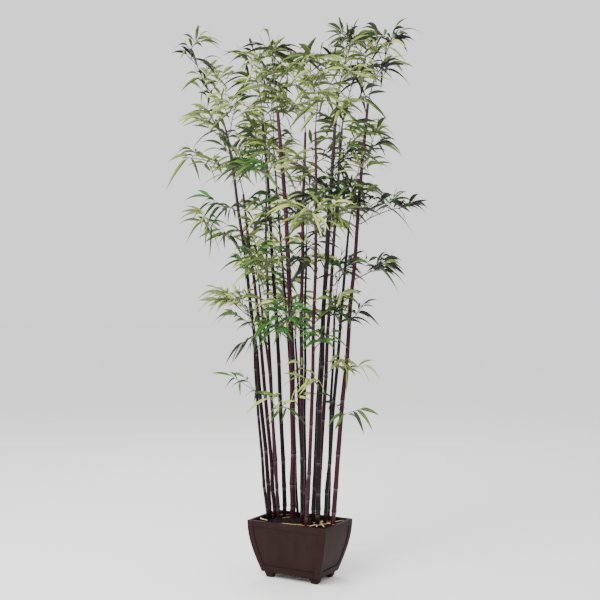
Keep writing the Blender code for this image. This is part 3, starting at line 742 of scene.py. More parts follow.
@dataclass
class Planter:
    """The planter: four walls of stiles, rails and sunk panels, a bottom board and four feet."""

    rim_length: float = 0.330
    rim_depth: float = 0.214
    base_length: float = 0.240
    base_depth: float = 0.156
    foot_height: float = 0.022
    rim_height: float = 0.213
    wall: float = 0.013
    floor: float = 0.012
    stile: float = 0.023
    bottom_rail: float = 0.025
    top_rail: float = 0.022
    panel_sink: float = 0.0025
    seam: float = 0.0003
    ease: float = 0.0008
    rows: int = 24
    foot_inset: float = 0.006
    foot_profile: tuple[tuple[float, float], ...] = (
        (0.0, 0.0105),
        (0.0012, 0.0122),
        (0.0035, 0.0134),
        (0.0110, 0.0158),
        (0.0217, 0.0190),
    )
    foot_rounding: float = 0.0035

    def half_sizes(self, height: float, inset: float) -> tuple[float, float]:
        """Half the length and depth at a height, this far inside the walls, which bow out."""
        share = (height - self.foot_height) / (self.rim_height - self.foot_height)
        flare = math.sin(max(0.0, min(1.0, share)) * math.pi / 2)
        length = self.base_length + (self.rim_length - self.base_length) * flare
        depth = self.base_depth + (self.rim_depth - self.base_depth) * flare
        return length / 2 - inset, depth / 2 - inset

    def wall_point(self, turn: int, lateral: float, height: float, inset: float) -> Vector:
        """The point of a wall, counted round from the front, this far across it and inside it."""
        half_length, half_depth = self.half_sizes(height, inset)
        out = half_depth if turn % 2 == 0 else half_length
        return Matrix.Rotation(turn * math.pi / 2, 3, "Z") @ Vector((lateral, -out, height))

    def board(
        self, built: bmesh.types.BMesh, turn: int, span: tuple, heights: tuple, insets: tuple, grain: Grain
    ) -> None:
        """Adds one board of a wall.

        Args:
            built: The mesh that it is added to.
            turn: The wall, counted round from the front.
            span: Its two ends across the wall, each the share of the half-width between the stiles
                and the distance beyond that. A distance of None is the mitred corner.
            heights: Its lowest and highest height.
            insets: How far its outer and inner face lie inside the planter's surface.
            grain: Which way its grain runs.
        """
        low, high = heights
        sections = []
        for row in range(self.rows + 1):
            height = low + (high - low) * row / self.rows
            section = []
            for inset, ends in ((insets[0], span), (insets[1], span[::-1])):
                for share, beyond in ends:
                    outer = self.half_sizes(height, 0)[turn % 2]
                    edge = outer - self.stile
                    reach = outer - inset if beyond is None else edge + beyond
                    section.append(self.wall_point(turn, share * reach, height, inset))
            sections.append(section)
        first = len(built.faces)
        loft(built, sections)
        built.faces.ensure_lookup_table()
        layer = built.loops.layers.uv.verify()
        shift = 0.37 * (first + 1)
        for face in built.faces[first:]:
            for corner in face.loops:
                local = Matrix.Rotation(-turn * math.pi / 2, 3, "Z") @ corner.vert.co
                across, upright = local.x + local.y, local.z
                place = (across, upright) if grain is Grain.UPRIGHT else (upright, across)
                corner[layer].uv = (place[0] + shift, place[1] + shift)

    def walls(self) -> bpy.types.Object:
        """The four walls and the bottom board in one piece, each board with its own eased edges."""
        built = bmesh.new()
        built.loops.layers.uv.new("grain")
        bottom, top = self.foot_height, self.rim_height
        rail_top, rail_foot = bottom + self.bottom_rail, top - self.top_rail
        between = ((-1, -self.seam), (1, -self.seam))
        solid = (0.0, self.wall)
        sunk = (self.panel_sink, self.wall - 0.002)
        for turn in range(4):
            for side in (-1, 1):
                ends = ((side, 0.0), (side, None)) if side > 0 else ((side, None), (side, 0.0))
                self.board(built, turn, ends, (bottom, top), solid, Grain.UPRIGHT)
            self.board(built, turn, between, (bottom, rail_top - self.seam), solid, Grain.LEVEL)
            self.board(built, turn, between, (rail_foot + self.seam, top), solid, Grain.LEVEL)
            self.board(built, turn, between, (rail_top, rail_foot), sunk, Grain.UPRIGHT)
        half_length, half_depth = self.half_sizes(bottom, self.wall)
        corners = ((-1, -1), (1, -1), (1, 1), (-1, 1))
        loft(
            built,
            [
                [Vector((x * half_length, y * half_depth, height)) for x, y in corners]
                for height in (bottom + 0.001, bottom + self.floor)
            ],
        )
        source = new_object("planter_boards", mesh_of("planter_boards", built))
        ease = source.modifiers.new("eased edges", "BEVEL")
        ease.width = self.ease
        ease.segments = 2
        ease.limit_method = "ANGLE"
        ease.angle_limit = math.radians(40)
        ease.harden_normals = True
        return baked("planter_walls", source)

    def foot(self, side_x: int, side_y: int) -> bpy.types.Object:
        """One foot: a turned-under block with rounded corners, its sole on the floor."""
        top = self.foot_profile[-1][1]
        centre_x = side_x * (self.base_length / 2 - self.foot_inset - top)
        centre_y = side_y * (self.base_depth / 2 - self.foot_inset - top)
        built = bmesh.new()
        layer = built.loops.layers.uv.new("grain")
        corners = ((-1, -1), (1, -1), (1, 1), (-1, 1))
        loft(
            built,
            [
                [Vector((centre_x + x * half, centre_y + y * half, height)) for x, y in corners]
                for height, half in self.foot_profile
            ],
        )
        for face in built.faces:
            for corner in face.loops:
                corner[layer].uv = (corner.vert.co.x + corner.vert.co.y, corner.vert.co.z)
        source = new_object("foot_block", mesh_of("foot_block", built))
        ease = source.modifiers.new("rounded corners", "BEVEL")
        ease.width = self.foot_rounding
        ease.segments = 3
        ease.limit_method = "ANGLE"
        ease.angle_limit = math.radians(60)
        row, column = ("front", "back")[side_y > 0], ("left", "right")[side_x > 0]
        return baked(f"foot_{row}_{column}", source)

    def build(self) -> None:
        """Builds and dresses the walls and the feet."""
        wood = StainedWood().material()
        walls = self.walls()
        walls.data.materials.append(wood)
        hand_over(walls, "stained_wood", "planter")
        for side_y in (-1, 1):
            for side_x in (-1, 1):
                foot = self.foot(side_x, side_y)
                foot.data.materials.append(wood)
                hand_over(foot, "stained_wood", f"planter_{foot.name}")


@dataclass
class Bedding:
    """The lumpy peat that fills the planter, and the wood wool strewn on it."""

    planter: Planter
    top: float = 0.2025
    side_gap: float = 0.0008
    lump: float = 0.0030
    cells: tuple[int, int] = (66, 42)
    crumb: float = 0.0026
    crumbs_per_square_metre: float = 26000
    ribbon_lift: float = 0.0065
    ribbon_thinness: float = 0.09
    # Each ribbon: right, back, bearing in degrees, length, width, bow, and whether it is orange.
    ribbons: tuple = (
        (-0.136, 0.022, 118, 0.060, 0.0100, 0.003, False),
        (-0.030, -0.058, 172, 0.075, 0.0065, 0.006, False),
        (0.020, -0.087, 168, 0.055, 0.0060, -0.004, True),
        (0.082, -0.072, 32, 0.110, 0.0090, 0.010, False),
        (0.106, -0.052, 125, 0.060, 0.0100, -0.006, True),
        (0.070, -0.028, 25, 0.050, 0.0080, -0.008, False),
        (0.140, -0.020, 35, 0.060, 0.0050, 0.008, False),
        (-0.078, 0.100, 176, 0.085, 0.0030, 0.004, False),
        (0.052, -0.088, 15, 0.060, 0.0055, 0.005, True),
    )
    extra_ribbons: int = 6

    def soil(self) -> bpy.types.Object:
        """A closed bed whose top is lumpy, highest in the middle, and worn down at the walls."""
        low = self.planter.foot_height + self.planter.floor + 0.0006
        inset = self.planter.wall + self.side_gap
        columns, lines = self.cells
        dice = random.Random("soil")
        waves = [
            (dice.uniform(30, 160), dice.uniform(0, 360), dice.uniform(0, math.tau)) for _ in range(14)
        ]
        built = bmesh.new()
        bmesh.ops.create_cube(built, size=2)
        for axis, count in ((Vector((1, 0, 0)), columns), (Vector((0, 1, 0)), lines)):
            for step in range(1, count):
                everything = built.verts[:] + built.edges[:] + built.faces[:]
                place = axis * (2 * step / count - 1)
                bmesh.ops.bisect_plane(built, geom=everything, plane_co=place, plane_no=axis)
        for vert in built.verts:
            x, y, upper = vert.co.x, vert.co.y, vert.co.z > 0
            height = self.top if upper else low
            half_length, half_depth = self.planter.half_sizes(height, inset)
            vert.co = Vector((x * half_length, y * half_depth, height))
            if upper:
                worn = max(abs(x), abs(y)) ** 10 * 0.006
                ripple = sum(
                    math.sin(wave * (vert.co.x * math.cos(turn) + vert.co.y * math.sin(turn)) + phase)
                    for wave, turn, phase in waves
                )
                vert.co.z += self.lump * ripple / 6 - worn
        return new_object("peat_bed", mesh_of("peat_bed", built))

    def crumbs(self, bed: bpy.types.Object, finish: bpy.types.Material) -> bpy.types.Object:
        """Loose crumbs on the bed's top."""
        cover = bmesh.new()
        cover.from_mesh(bed.data)
        below = [face for face in cover.faces if face.calc_center_median().z < self.top - 0.012]
        bmesh.ops.delete(cover, geom=below, context="FACES")
        inputs = {
            "Density": self.crumbs_per_square_metre,
            "Crumb Size": self.crumb,
            "Finish": finish,
        }
        return grown("peat_crumbs", mesh_of("peat_cover", cover), crumb_tree(), inputs)

    def ribbon(self, name: str, row: tuple) -> Path:
        """The curling line of one ribbon, which rises off the bed and comes back to it."""
        right, back, bearing, length, width, bow, _ = row
        dice = random.Random(name)
        along, across = heading(bearing, 0), heading(bearing + 90, 0)
        centre = placed(right, back, self.top + self.ribbon_lift)
        path = Path()
        steps = 14
        phase = dice.uniform(0, math.tau)
        for step in range(steps + 1):
            share = step / steps - 0.5
            curve = bow * (1 - 4 * share**2)
            lift = 0.0012 * math.sin(phase + share * 5)
            point = centre + along * length * share + across * curve + UP * lift
            path.add(point, width / 2 * (1 - 0.5 * abs(2 * share) ** 4))
        return path

    def build(self, tubes: bpy.types.NodeTree) -> None:
        """Builds and dresses the soil, its crumbs and the wood wool."""
        peat = PottingPeat().material()
        bed = self.soil()
        bed.data.materials.append(peat)
        crumbs = self.crumbs(bed, peat)
        hand_over(bed, "dark_soil", "soil")
        hand_over(crumbs, "dark_soil")
        dice = random.Random("loose ribbons")
        rows = list(self.ribbons)
        for _ in range(self.extra_ribbons):
            place = Vector((dice.uniform(-0.125, 0.125), dice.uniform(-0.072, 0.072), 0))
            sizes = (dice.uniform(0.025, 0.06), dice.uniform(0.003, 0.006), dice.uniform(-0.010, 0.010))
            rows.append(
                (place.dot(RIGHT), place.dot(BACK), dice.uniform(0, 360), *sizes, dice.random() < 0.4)
            )
        looks = {
            "tan": WoodWool("tan_wood_wool", "#a9824c", "#e2c890"),
            "orange": WoodWool("orange_wood_wool", "#a5662e", "#dba05c"),
        }
        for colour, look in looks.items():
            chosen = [row for row in rows if row[-1] == (colour == "orange")]
            paths = [self.ribbon(f"{colour} ribbon {i}", row) for i, row in enumerate(chosen)]
            name = f"wood_wool_{colour}"
            inputs = {"Sides": 8, "Flatness": self.ribbon_thinness, "Finish": look.material()}
            hand_over(grown(name, path_mesh(name, paths), tubes, inputs), None)


@dataclass(frozen=True)
class Cane:
    """One cane: its foot and tip right and back of the centre, its tip's height, bow and thickness."""

    foot_right: float
    foot_back: float
    tip_right: float
    tip_back: float
    tip_height: float
    bow: float
    thickness: float
    red: bool


CANES = {
    "cane_01": Cane(-0.121, 0.034, -0.174, 0.000, 0.92, -0.005, 0.012, False),
    "cane_02": Cane(-0.113, 0.060, -0.281, 0.100, 1.68, 0.018, 0.015, False),
    "cane_03": Cane(-0.097, 0.090, -0.222, 0.150, 1.44, 0.013, 0.015, True),
    "cane_04": Cane(-0.082, 0.061, -0.156, 0.020, 1.09, 0.013, 0.012, True),
    "cane_05": Cane(-0.083, 0.116, -0.134, 0.205, 1.45, -0.010, 0.013, False),
    "cane_06": Cane(-0.059, 0.097, -0.142, 0.110, 1.71, 0.009, 0.016, False),
    "cane_07": Cane(-0.029, 0.062, -0.081, -0.010, 1.73, 0.021, 0.021, True),
    "cane_08": Cane(-0.008, 0.083, -0.097, 0.180, 1.55, 0.006, 0.011, False),
    "cane_09": Cane(0.006, -0.049, -0.017, -0.090, 0.89, 0.007, 0.012, False),
    "cane_10": Cane(0.013, -0.002, 0.022, 0.030, 1.66, -0.012, 0.016, True),
    "cane_11": Cane(0.021, 0.055, 0.024, 0.150, 1.27, -0.004, 0.012, False),
    "cane_12": Cane(0.022, -0.084, 0.057, -0.165, 1.63, 0.010, 0.014, True),
    "cane_13": Cane(0.049, -0.015, 0.108, -0.040, 1.44, -0.003, 0.015, False),
    "cane_14": Cane(0.063, -0.071, 0.134, -0.130, 1.75, -0.012, 0.017, False),
    "cane_15": Cane(0.068, 0.030, 0.160, 0.115, 1.69, -0.005, 0.015, True),
    "cane_16": Cane(0.091, -0.040, 0.179, -0.085, 1.29, -0.002, 0.014, False),
    "cane_17": Cane(0.106, 0.003, 0.136, 0.060, 1.05, -0.004, 0.012, False),
    "cane_18": Cane(0.120, -0.063, 0.247, -0.065, 1.75, 0.000, 0.017, True),
}


@dataclass
class CaneClump:
    """The canes: their joints, kinks and taper, by the seeded rule of the solids."""

    soil_top: float = 0.203
    gap: float = 0.0003
    foot_joints: tuple[float, ...] = (0.045, 0.120, 0.225)
    joint_spacing: float = 0.175
    joint_swell: float = 1.12
    tip_taper: float = 0.62
    kink: float = 0.0022
    upright_foot: float = 0.012
    sides: int = 14
    sunk_foot: float = 0.006
    # A joint's section along the cane: distance from its ridge, share of radius, bloom, groove.
    joint_profile: tuple[tuple[float, float, float, float], ...] = (
        (-0.0200, 1.000, 0.00, 0.0),
        (-0.0100, 1.000, 0.12, 0.0),
        (-0.0060, 1.015, 0.28, 0.0),
        (-0.0042, 1.100, 0.12, 0.2),
        (-0.0030, 1.105, 0.00, 0.9),
        (-0.0018, 1.020, 0.00, 1.0),
        (0.0002, 1.090, 0.00, 0.5),
        (0.0025, 1.125, 0.05, 0.0),
        (0.0060, 1.060, 0.05, 0.0),
        (0.0140, 1.010, 0.00, 0.0),
    )
    stub_length: float = 0.009
    stub_radius: float = 0.0022
    nodes_with_stub: float = 0.6
    lines: dict[str, list[tuple[Vector, float]]] = field(init=False)

    def __post_init__(self) -> None:
        """Works out each cane's centreline once."""
        self.lines = {name: self.centreline(name) for name in CANES}

    def joint_heights(self, name: str) -> list[float]:
        """Heights above the soil of the cane's joints."""
        dice = random.Random(name)
        shift = dice.uniform(0.85, 1.2)
        heights = [joint * shift for joint in self.foot_joints]
        length = CANES[name].tip_height - self.soil_top
        while heights[-1] + 1.3 * self.joint_spacing < length:
            heights.append(heights[-1] + self.joint_spacing * dice.uniform(0.85, 1.15))
        return heights

    def centreline(self, name: str) -> list[tuple[Vector, float]]:
        """The cane's centreline as (point, radius) pairs: an upright foot, its joints and its tip."""
        cane = CANES[name]
        dice = random.Random(name + " kinks")
        foot_height = self.soil_top + self.gap
        length = cane.tip_height - foot_height
        foot = placed(cane.foot_right, cane.foot_back, foot_height)
        points = [(foot, cane.thickness / 2), (foot + UP * self.upright_foot, cane.thickness / 2)]
        for number, above in enumerate([*self.joint_heights(name), length]):
            share = above / length
            bow = cane.bow * 4 * share * (1 - share)
            right = cane.foot_right + (cane.tip_right - cane.foot_right) * share + bow
            back = cane.foot_back + (cane.tip_back - cane.foot_back) * share
            centre = placed(right, back, foot_height + above)
            kink = self.kink * (-1) ** number
            turn = dice.uniform(0, math.pi)
            centre += Vector((math.cos(turn), math.sin(turn), 0)) * kink
            radius = cane.thickness / 2 * (1 - (1 - self.tip_taper) * share)
            if share < 1:
                radius *= self.joint_swell
            points.append((centre, radius))
        return points

    def centre(self, name: str, height: float) -> tuple[Vector, float]:
        """The point of the cane's centreline at this height, and its radius there."""
        points = self.lines[name]
        for (low, low_radius), (high, high_radius) in zip(points, points[1:]):
            if low.z <= height <= high.z:
                share = (height - low.z) / (high.z - low.z)
                return low.lerp(high, share), low_radius + (high_radius - low_radius) * share
        return points[-1]

    def holds(self, name: str, point: Vector, clearance: float) -> bool:
        """Whether a point is within the cane, or less than the clearance from it."""
        if point.z > CANES[name].tip_height:
            return False
        centre, radius = self.centre(name, point.z)
        return (point - centre).length < radius + clearance

    def skin_path(self, name: str) -> Path:
        """The cane's path for the tube tree, with each joint's ridges, groove and bloom."""
        points = self.lines[name]
        joints = [point.z for point, _ in points[2:-1]]
        stations = {points[0][0].z: (1.0, 0.0, 0.0), points[-1][0].z: (0.98, 0.0, 0.0)}
        for joint in joints:
            for offset, share, bloom, groove in self.joint_profile:
                stations[joint + offset] = (share, bloom, groove)
        for low, high in zip(joints, joints[1:]):
            stations[(low + high) / 2] = (0.985, 0.0, 0.0)
        path = Path()
        foot, radius = points[0]
        path.add(foot - UP * self.sunk_foot, radius, bloom=0.0, groove=0.0)
        top = points[-1][0].z
        for height in sorted(stations):
            if foot.z <= height <= top:
                share, bloom, groove = stations[height]
                centre, radius = self.centre(name, height)
                path.add(centre, radius * share * 0.965, bloom=bloom, groove=groove)
        return path

    def stubs(self, name: str) -> list[Path]:
        """The short ends of cut branches that stand out of some joints."""
        dice = random.Random(name + " stubs")
        found = []
        for number, (point, radius) in enumerate(self.lines[name][2:-1]):
            if dice.random() > self.nodes_with_stub:
                continue
            out = heading(dice.uniform(-30, 30) + 180 * (number % 2) + 90, 42)
            path = Path()
            for share, size in ((0.0, 1.1), (0.55, 0.95), (0.9, 1.0), (1.0, 0.7)):
                place = point + out * (radius * 0.6 + self.stub_length * share)
                path.add(place, self.stub_radius * size, bloom=0.0, groove=0.5)
            found.append(path)
        return found

    def build(self, tubes: bpy.types.NodeTree) -> None:
        """Builds and dresses the canes, each one piece."""
        # The third colour of each skin is the grey of the painted reflection on the canes' upper half.
        red = CaneSkin("maroon_stained_bamboo", "#1d070d", "#40131f", "#4b2f39").material()
        black = CaneSkin("black_bamboo", "#0d0507", "#190b10", "#403339").material()
        for name, cane in CANES.items():
            slot = "maroon_cane" if cane.red else "black_cane"
            paths = [self.skin_path(name), *self.stubs(name)]
            inputs = {"Sides": self.sides, "Flatness": 1.0, "Finish": red if cane.red else black}
            piece = grown(f"{name}_skin", path_mesh(name, paths), tubes, inputs)
            hand_over(piece, slot, name)


@dataclass(frozen=True)
class Spray:
    """One spray: its cane, its height there (None on the cut tip), where it points and how far.

    Bearing is in degrees from right towards back, rise in degrees above level.
    """

    cane: str
    height: float | None
    bearing: float
    rise: float
    reach: float
    forks: int
    sag: float
    palette: Palette


SPRAYS = {
    "side_spray_01": Spray("cane_02", 1.53, 184, 26, 0.20, 3, 0.22, Palette.PALE),
    "side_spray_02": Spray("cane_02", 1.23, 182, 44, 0.21, 3, 0.20, Palette.WARM),
    "side_spray_03": Spray("cane_02", 0.97, 196, 44, 0.15, 3, 0.25, Palette.WARM),
    "side_spray_04": Spray("cane_01", 0.68, 262, 42, 0.03, 2, 0.25, Palette.FRESH),
    "side_spray_05": Spray("cane_04", 0.62, 300, 18, 0.12, 3, 0.20, Palette.WARM),
    "side_spray_06": Spray("cane_18", 0.60, 275, 45, 0.04, 2, 0.25, Palette.DEEP),
    "side_spray_07": Spray("cane_18", 0.75, 285, 55, 0.06, 3, 0.25, Palette.WARM),
    "side_spray_08": Spray("cane_13", 0.70, 262, 38, 0.13, 3, 0.25, Palette.PALE),
    "side_spray_09": Spray("cane_18", 1.11, 350, 30, 0.12, 3, 0.25, Palette.DEEP),
    "side_spray_10": Spray("cane_07", 0.88, 232, 42, 0.15, 3, 0.25, Palette.FRESH),
    "side_spray_11": Spray("cane_07", 1.13, 215, 32, 0.16, 3, 0.25, Palette.WARM),
    "side_spray_12": Spray("cane_12", 0.84, 285, 38, 0.15, 3, 0.25, Palette.FRESH),
    "side_spray_13": Spray("cane_08", 1.04, 100, 36, 0.18, 3, 0.25, Palette.WARM),
    "side_spray_14": Spray("cane_18", 0.93, 275, 52, 0.07, 3, 0.25, Palette.DEEP),
    "side_spray_15": Spray("cane_18", 1.31, 352, 32, 0.19, 4, 0.22, Palette.DEEP),
    "side_spray_16": Spray("cane_12", 1.28, 262, 36, 0.17, 3, 0.25, Palette.PALE),
    "side_spray_17": Spray("cane_07", 1.44, 225, 40, 0.19, 3, 0.25, Palette.FRESH),
    "side_spray_18": Spray("cane_15", 1.32, 72, 38, 0.19, 3, 0.25, Palette.WARM),
    "tip_spray_01": Spray("cane_01", None, 190, 66, 0.14, 3, 0.10, Palette.PALE),
    "tip_spray_02": Spray("cane_02", None, 176, 66, 0.39, 5, 0.04, Palette.MIXED),
    "tip_spray_03": Spray("cane_03", None, 150, 72, 0.29, 4, 0.05, Palette.PALE),
    "tip_spray_04": Spray("cane_04", None, 215, 72, 0.15, 2, 0.05, Palette.FRESH),
    "tip_spray_05": Spray("cane_05", None, 105, 70, 0.28, 4, 0.05, Palette.WARM),
    "tip_spray_06": Spray("cane_06", None, 130, 80, 0.30, 5, 0.04, Palette.WARM),
    "tip_spray_07": Spray("cane_07", None, 235, 80, 0.27, 5, 0.04, Palette.PALE),
    "tip_spray_08": Spray("cane_08", None, 95, 76, 0.32, 5, 0.05, Palette.WARM),
    "tip_spray_09": Spray("cane_09", None, 250, 68, 0.14, 2, 0.05, Palette.FRESH),
    "tip_spray_10": Spray("cane_10", None, 160, 78, 0.31, 5, 0.04, Palette.PALE),
    "tip_spray_11": Spray("cane_11", None, 80, 74, 0.26, 4, 0.05, Palette.WARM),
    "tip_spray_12": Spray("cane_12", None, 280, 72, 0.28, 5, 0.05, Palette.WARM),
    "tip_spray_13": Spray("cane_13", None, 330, 78, 0.28, 4, 0.04, Palette.WARM),
    "tip_spray_14": Spray("cane_14", None, 330, 76, 0.24, 5, 0.04, Palette.MIXED),
    "tip_spray_15": Spray("cane_15", None, 10, 77, 0.37, 5, 0.04, Palette.WARM),
    "tip_spray_16": Spray("cane_16", None, 300, 74, 0.26, 4, 0.05, Palette.WARM),
    "tip_spray_17": Spray("cane_17", None, 60, 72, 0.15, 2, 0.05, Palette.FRESH),
    "tip_spray_18": Spray("cane_18", None, 8, 70, 0.31, 5, 0.05, Palette.MIXED),
}


# Small sprays that only show in the looks: one hangs low at the front left, the others fill the
# body of the crown round the tip of the leftmost cane.
EXTRA_SPRAYS = {
    "hanging_spray": Spray("cane_01", 0.90, 290, 0, 0.03, 1, 0.30, Palette.DEEP),
    "upper_left_spray_1": Spray("cane_02", 1.57, 30, 62, 0.17, 3, 0.15, Palette.WARM),
    "upper_left_spray_2": Spray("cane_02", 1.63, 190, 64, 0.16, 3, 0.15, Palette.PALE),
    "upper_left_spray_3": Spray("cane_02", 1.66, 300, 66, 0.14, 3, 0.15, Palette.WARM),
}

JOINT_PALETTES = {
    "cane_02": (Palette.FRESH, Palette.PALE),
    "cane_14": (Palette.SHADY, Palette.WARM),
    "cane_15": (Palette.DEEP, Palette.MIXED),
    "cane_18": (Palette.DEEP, Palette.SHADY),
}
DEFAULT_JOINT_PALETTES = (Palette.PALE, Palette.WARM, Palette.WARM, Palette.MIXED)


@dataclass(frozen=True)
class Leaf:
    """One leaf: where it is rooted, its first direction, length, width, droop, curl and roll."""

    root: Vector
    direction: Vector
    length: float
    width: float
    droop: float
    curl: float
    roll: float

    def side(self) -> Vector:
        """The direction across the blade."""
        level = self.direction.cross(UP)
        level = level.normalized() if level.length > 0.001 else RIGHT.copy()
        return Matrix.Rotation(self.roll, 3, self.direction) @ level

    def bend(self) -> Vector:
        """How far the tip is carried off the first direction."""
        return (self.side() * self.curl - UP * self.droop) * self.length

    def point(self, share: float) -> Vector:
        """The point of its midrib at this share of its length."""
        return self.root + self.direction * self.length * share + self.bend() * share**2


@dataclass
class Foliage:
    """The sprays: stems, twigs, finer twigs and leaves, by the seeded rule of the solids."""

    clump: CaneClump
    peg: float = 0.007
    stem_steps: int = 4
    stem_kink: float = 0.004
    stem_radius: float = 0.0023
    stem_tip_radius: float = 0.0015
    twig_radius: float = 0.0013
    fine_radius: float = 0.0009
    node_swell: float = 1.35
    twig_longest: float = 0.125
    twig_shortest: float = 0.055
    leaf_length: float = 0.107
    leaf_width: float = 0.0132
    leaf_roll: tuple[float, float] = (30, 76)
    leaf_tries: int = 4
    leaf_clearance: float = 0.004
    fan_leaves: int = 5
    fan_spacing: float = 0.012
    finer_twigs: int = 2
    finer_leaves: int = 3
    opposite_length: float = 0.7
    sparse_below: float = 0.80
    full_above: float = 1.58
    lowest_joint_spray: float = 0.86
    full_joint_spray: float = 1.62
    least_in_leaf: float = 0.25
    small_below: float = 1.22
    small_share: float = 0.80
    shade_from: float = 1.78
    shade_to: float = 2.10
    joint_turn: float = 137.5
    crown_half_length: float = 0.452
    crown_half_depth: float = 0.362
    crown_top: float = 2.088
    shoulder: float = 0.40
    blade_stations: tuple[float, ...] = (0.0, 0.05, 0.14, 0.26, 0.40, 0.56, 0.71, 0.86, 1.0)
    blade_fold: float = 0.16
    blade_thickness: float = 0.05
    leaves: dict[Tone, list[Leaf]] = field(default_factory=dict)
    twigs: list[Path] = field(default_factory=list)

    def blade_share(self, share: float) -> float:
        """The blade's width at a share of its length: a narrow stalk, a broad shoulder, a long tip."""
        if share < self.shoulder:
            return 0.12 + 0.88 * math.sin(math.pi / 2 * max(0.0, share - 0.03) / (self.shoulder - 0.03))
        return math.cos(math.pi / 2 * (share - self.shoulder) / (1 - self.shoulder)) ** 0.9

    def blade(self) -> bpy.types.Object:
        """The blade that each leaf repeats, one long and one wide, folded along its midrib.

        Its blade attribute holds the place across it, from -1 to 1, and along it, from 0 to 1.
        """
        built = bmesh.new()
        place = built.verts.layers.float_vector.new("blade")
        rings = []
        for share in self.blade_stations:
            half = self.blade_share(share) / 2
            corners = [(-half, self.blade_fold), (0.0, 0.0), (half, self.blade_fold), (0.0, -1.0)]
            ring = []
            for number, (across, height) in enumerate(corners):
                raised = height * half * 2 if number < 3 else -self.blade_thickness * min(1.0, half * 3)
                vert = built.verts.new((across, share, raised))
                vert[place] = (0.0 if number in (1, 3) else math.copysign(1, across), share, 0)
                ring.append(vert)
            rings.append(ring)
        under = built.faces.layers.bool.new("underneath")
        for near, far in zip(rings, rings[1:]):
            for i, hidden in ((0, False), (1, False), (2, True), (3, True)):
                j = (i + 1) % 4
                face = built.faces.new((near[i], near[j], far[j], far[i]))
                face[under] = hidden
        bmesh.ops.remove_doubles(built, verts=built.verts, dist=1e-5)
        for end in (0, 1):
            loop = [edge for edge in built.edges if edge.is_boundary and edge.verts[0].co.y == end]
            if loop:
                bmesh.ops.contextual_create(built, geom=loop)
        bmesh.ops.recalc_face_normals(built, faces=built.faces)
        made = new_object("leaf_blade", mesh_of("leaf_blade", built))
        return made

    def stem_points(self, name: str, spray: Spray) -> list[Vector]:
        """The stem's points: a short peg out of its cane, then a kinked arc that rises and sags."""
        if spray.height is None:
            line = self.clump.lines[spray.cane]
            out = (line[-1][0] - line[-2][0]).normalized()
            start = line[-1][0] + out * self.clump.gap
        else:
            centre, radius = self.clump.centre(spray.cane, spray.height)
            out = heading(spray.bearing, 0)
            start = centre + out * radius
        dice = random.Random(name)
        peg_end = start + out * self.peg
        aim = heading(spray.bearing, spray.rise)
        points = [start - out * 0.004, peg_end]
        for step in range(1, self.stem_steps + 1):
            share = step / self.stem_steps
            along = out.lerp(aim, min(1, share * 2)).normalized() if spray.height is None else aim
            centre = peg_end + along * spray.reach * share - UP * spray.sag * spray.reach * share**2
            kink = heading(dice.uniform(0, 360), 0) * self.stem_kink * (-1) ** step
            points.append(centre + kink)
        return points

    def along_stem(self, points: list[Vector], share: float) -> tuple[Vector, Vector]:
        """The point and direction of the stem at this share of its length after the peg."""
        place = 1 + share * (len(points) - 2)
        index = min(int(place), len(points) - 2)
        low, high = points[index], points[index + 1]
        return low.lerp(high, place - index), (high - low).normalized()

    def twig_line(self, name: str, spray: Spray, points: list[Vector], fork: int) -> tuple[Vector, Vector]:
        """One twig's start and end: they alternate along the stem, the lower ones longer."""
        dice = random.Random(f"{name} twig {fork} 0")
        share = 0.10 + 0.84 * (fork + dice.uniform(0.1, 0.7)) / spray.forks
        start, direction = self.along_stem(points, share)
        if spray.height is None:
            turn = spray.bearing + 137.5 * fork + dice.uniform(-40, 40)
            rise = dice.uniform(25, 58)
        else:
            side = 1 if fork % 2 else -1
            turn = bearing_of(direction) + side * dice.uniform(32, 70)
            rise = rise_of(direction) * 0.5 + dice.uniform(-5, 32)
        length = self.twig_longest + (self.twig_shortest - self.twig_longest) * share
        return start, start + heading(turn, rise) * length * dice.uniform(0.75, 1.15)

    def opposite(self, twig: tuple[Vector, Vector], label: str) -> tuple[Vector, Vector]:
        """A shorter twig's start and end, from the same node as a twig but to the other side."""
        dice = random.Random(f"{label} opposite")
        start, end = twig
        along = end - start
        turned = heading(bearing_of(along) + 180 + dice.uniform(-45, 45), dice.uniform(15, 60))
        return start, start + turned * along.length * self.opposite_length

    def finer_line(self, label: str, twig: tuple[Vector, Vector], number: int) -> tuple[Vector, Vector]:
        """A finer twig's start and end, out of the side of a twig."""
        dice = random.Random(f"{label} finer {number}")
        start, end = twig
        along = (end - start).normalized()
        side = 1 if number % 2 else -1
        turn = bearing_of(along) + side * dice.uniform(30, 65)
        rise = rise_of(along) * 0.6 + dice.uniform(-10, 30)
        root = start.lerp(end, dice.uniform(0.25, 0.45) + 0.3 * number / self.finer_twigs)
        return root, root + heading(turn, rise) * (end - start).length * dice.uniform(0.45, 0.7)

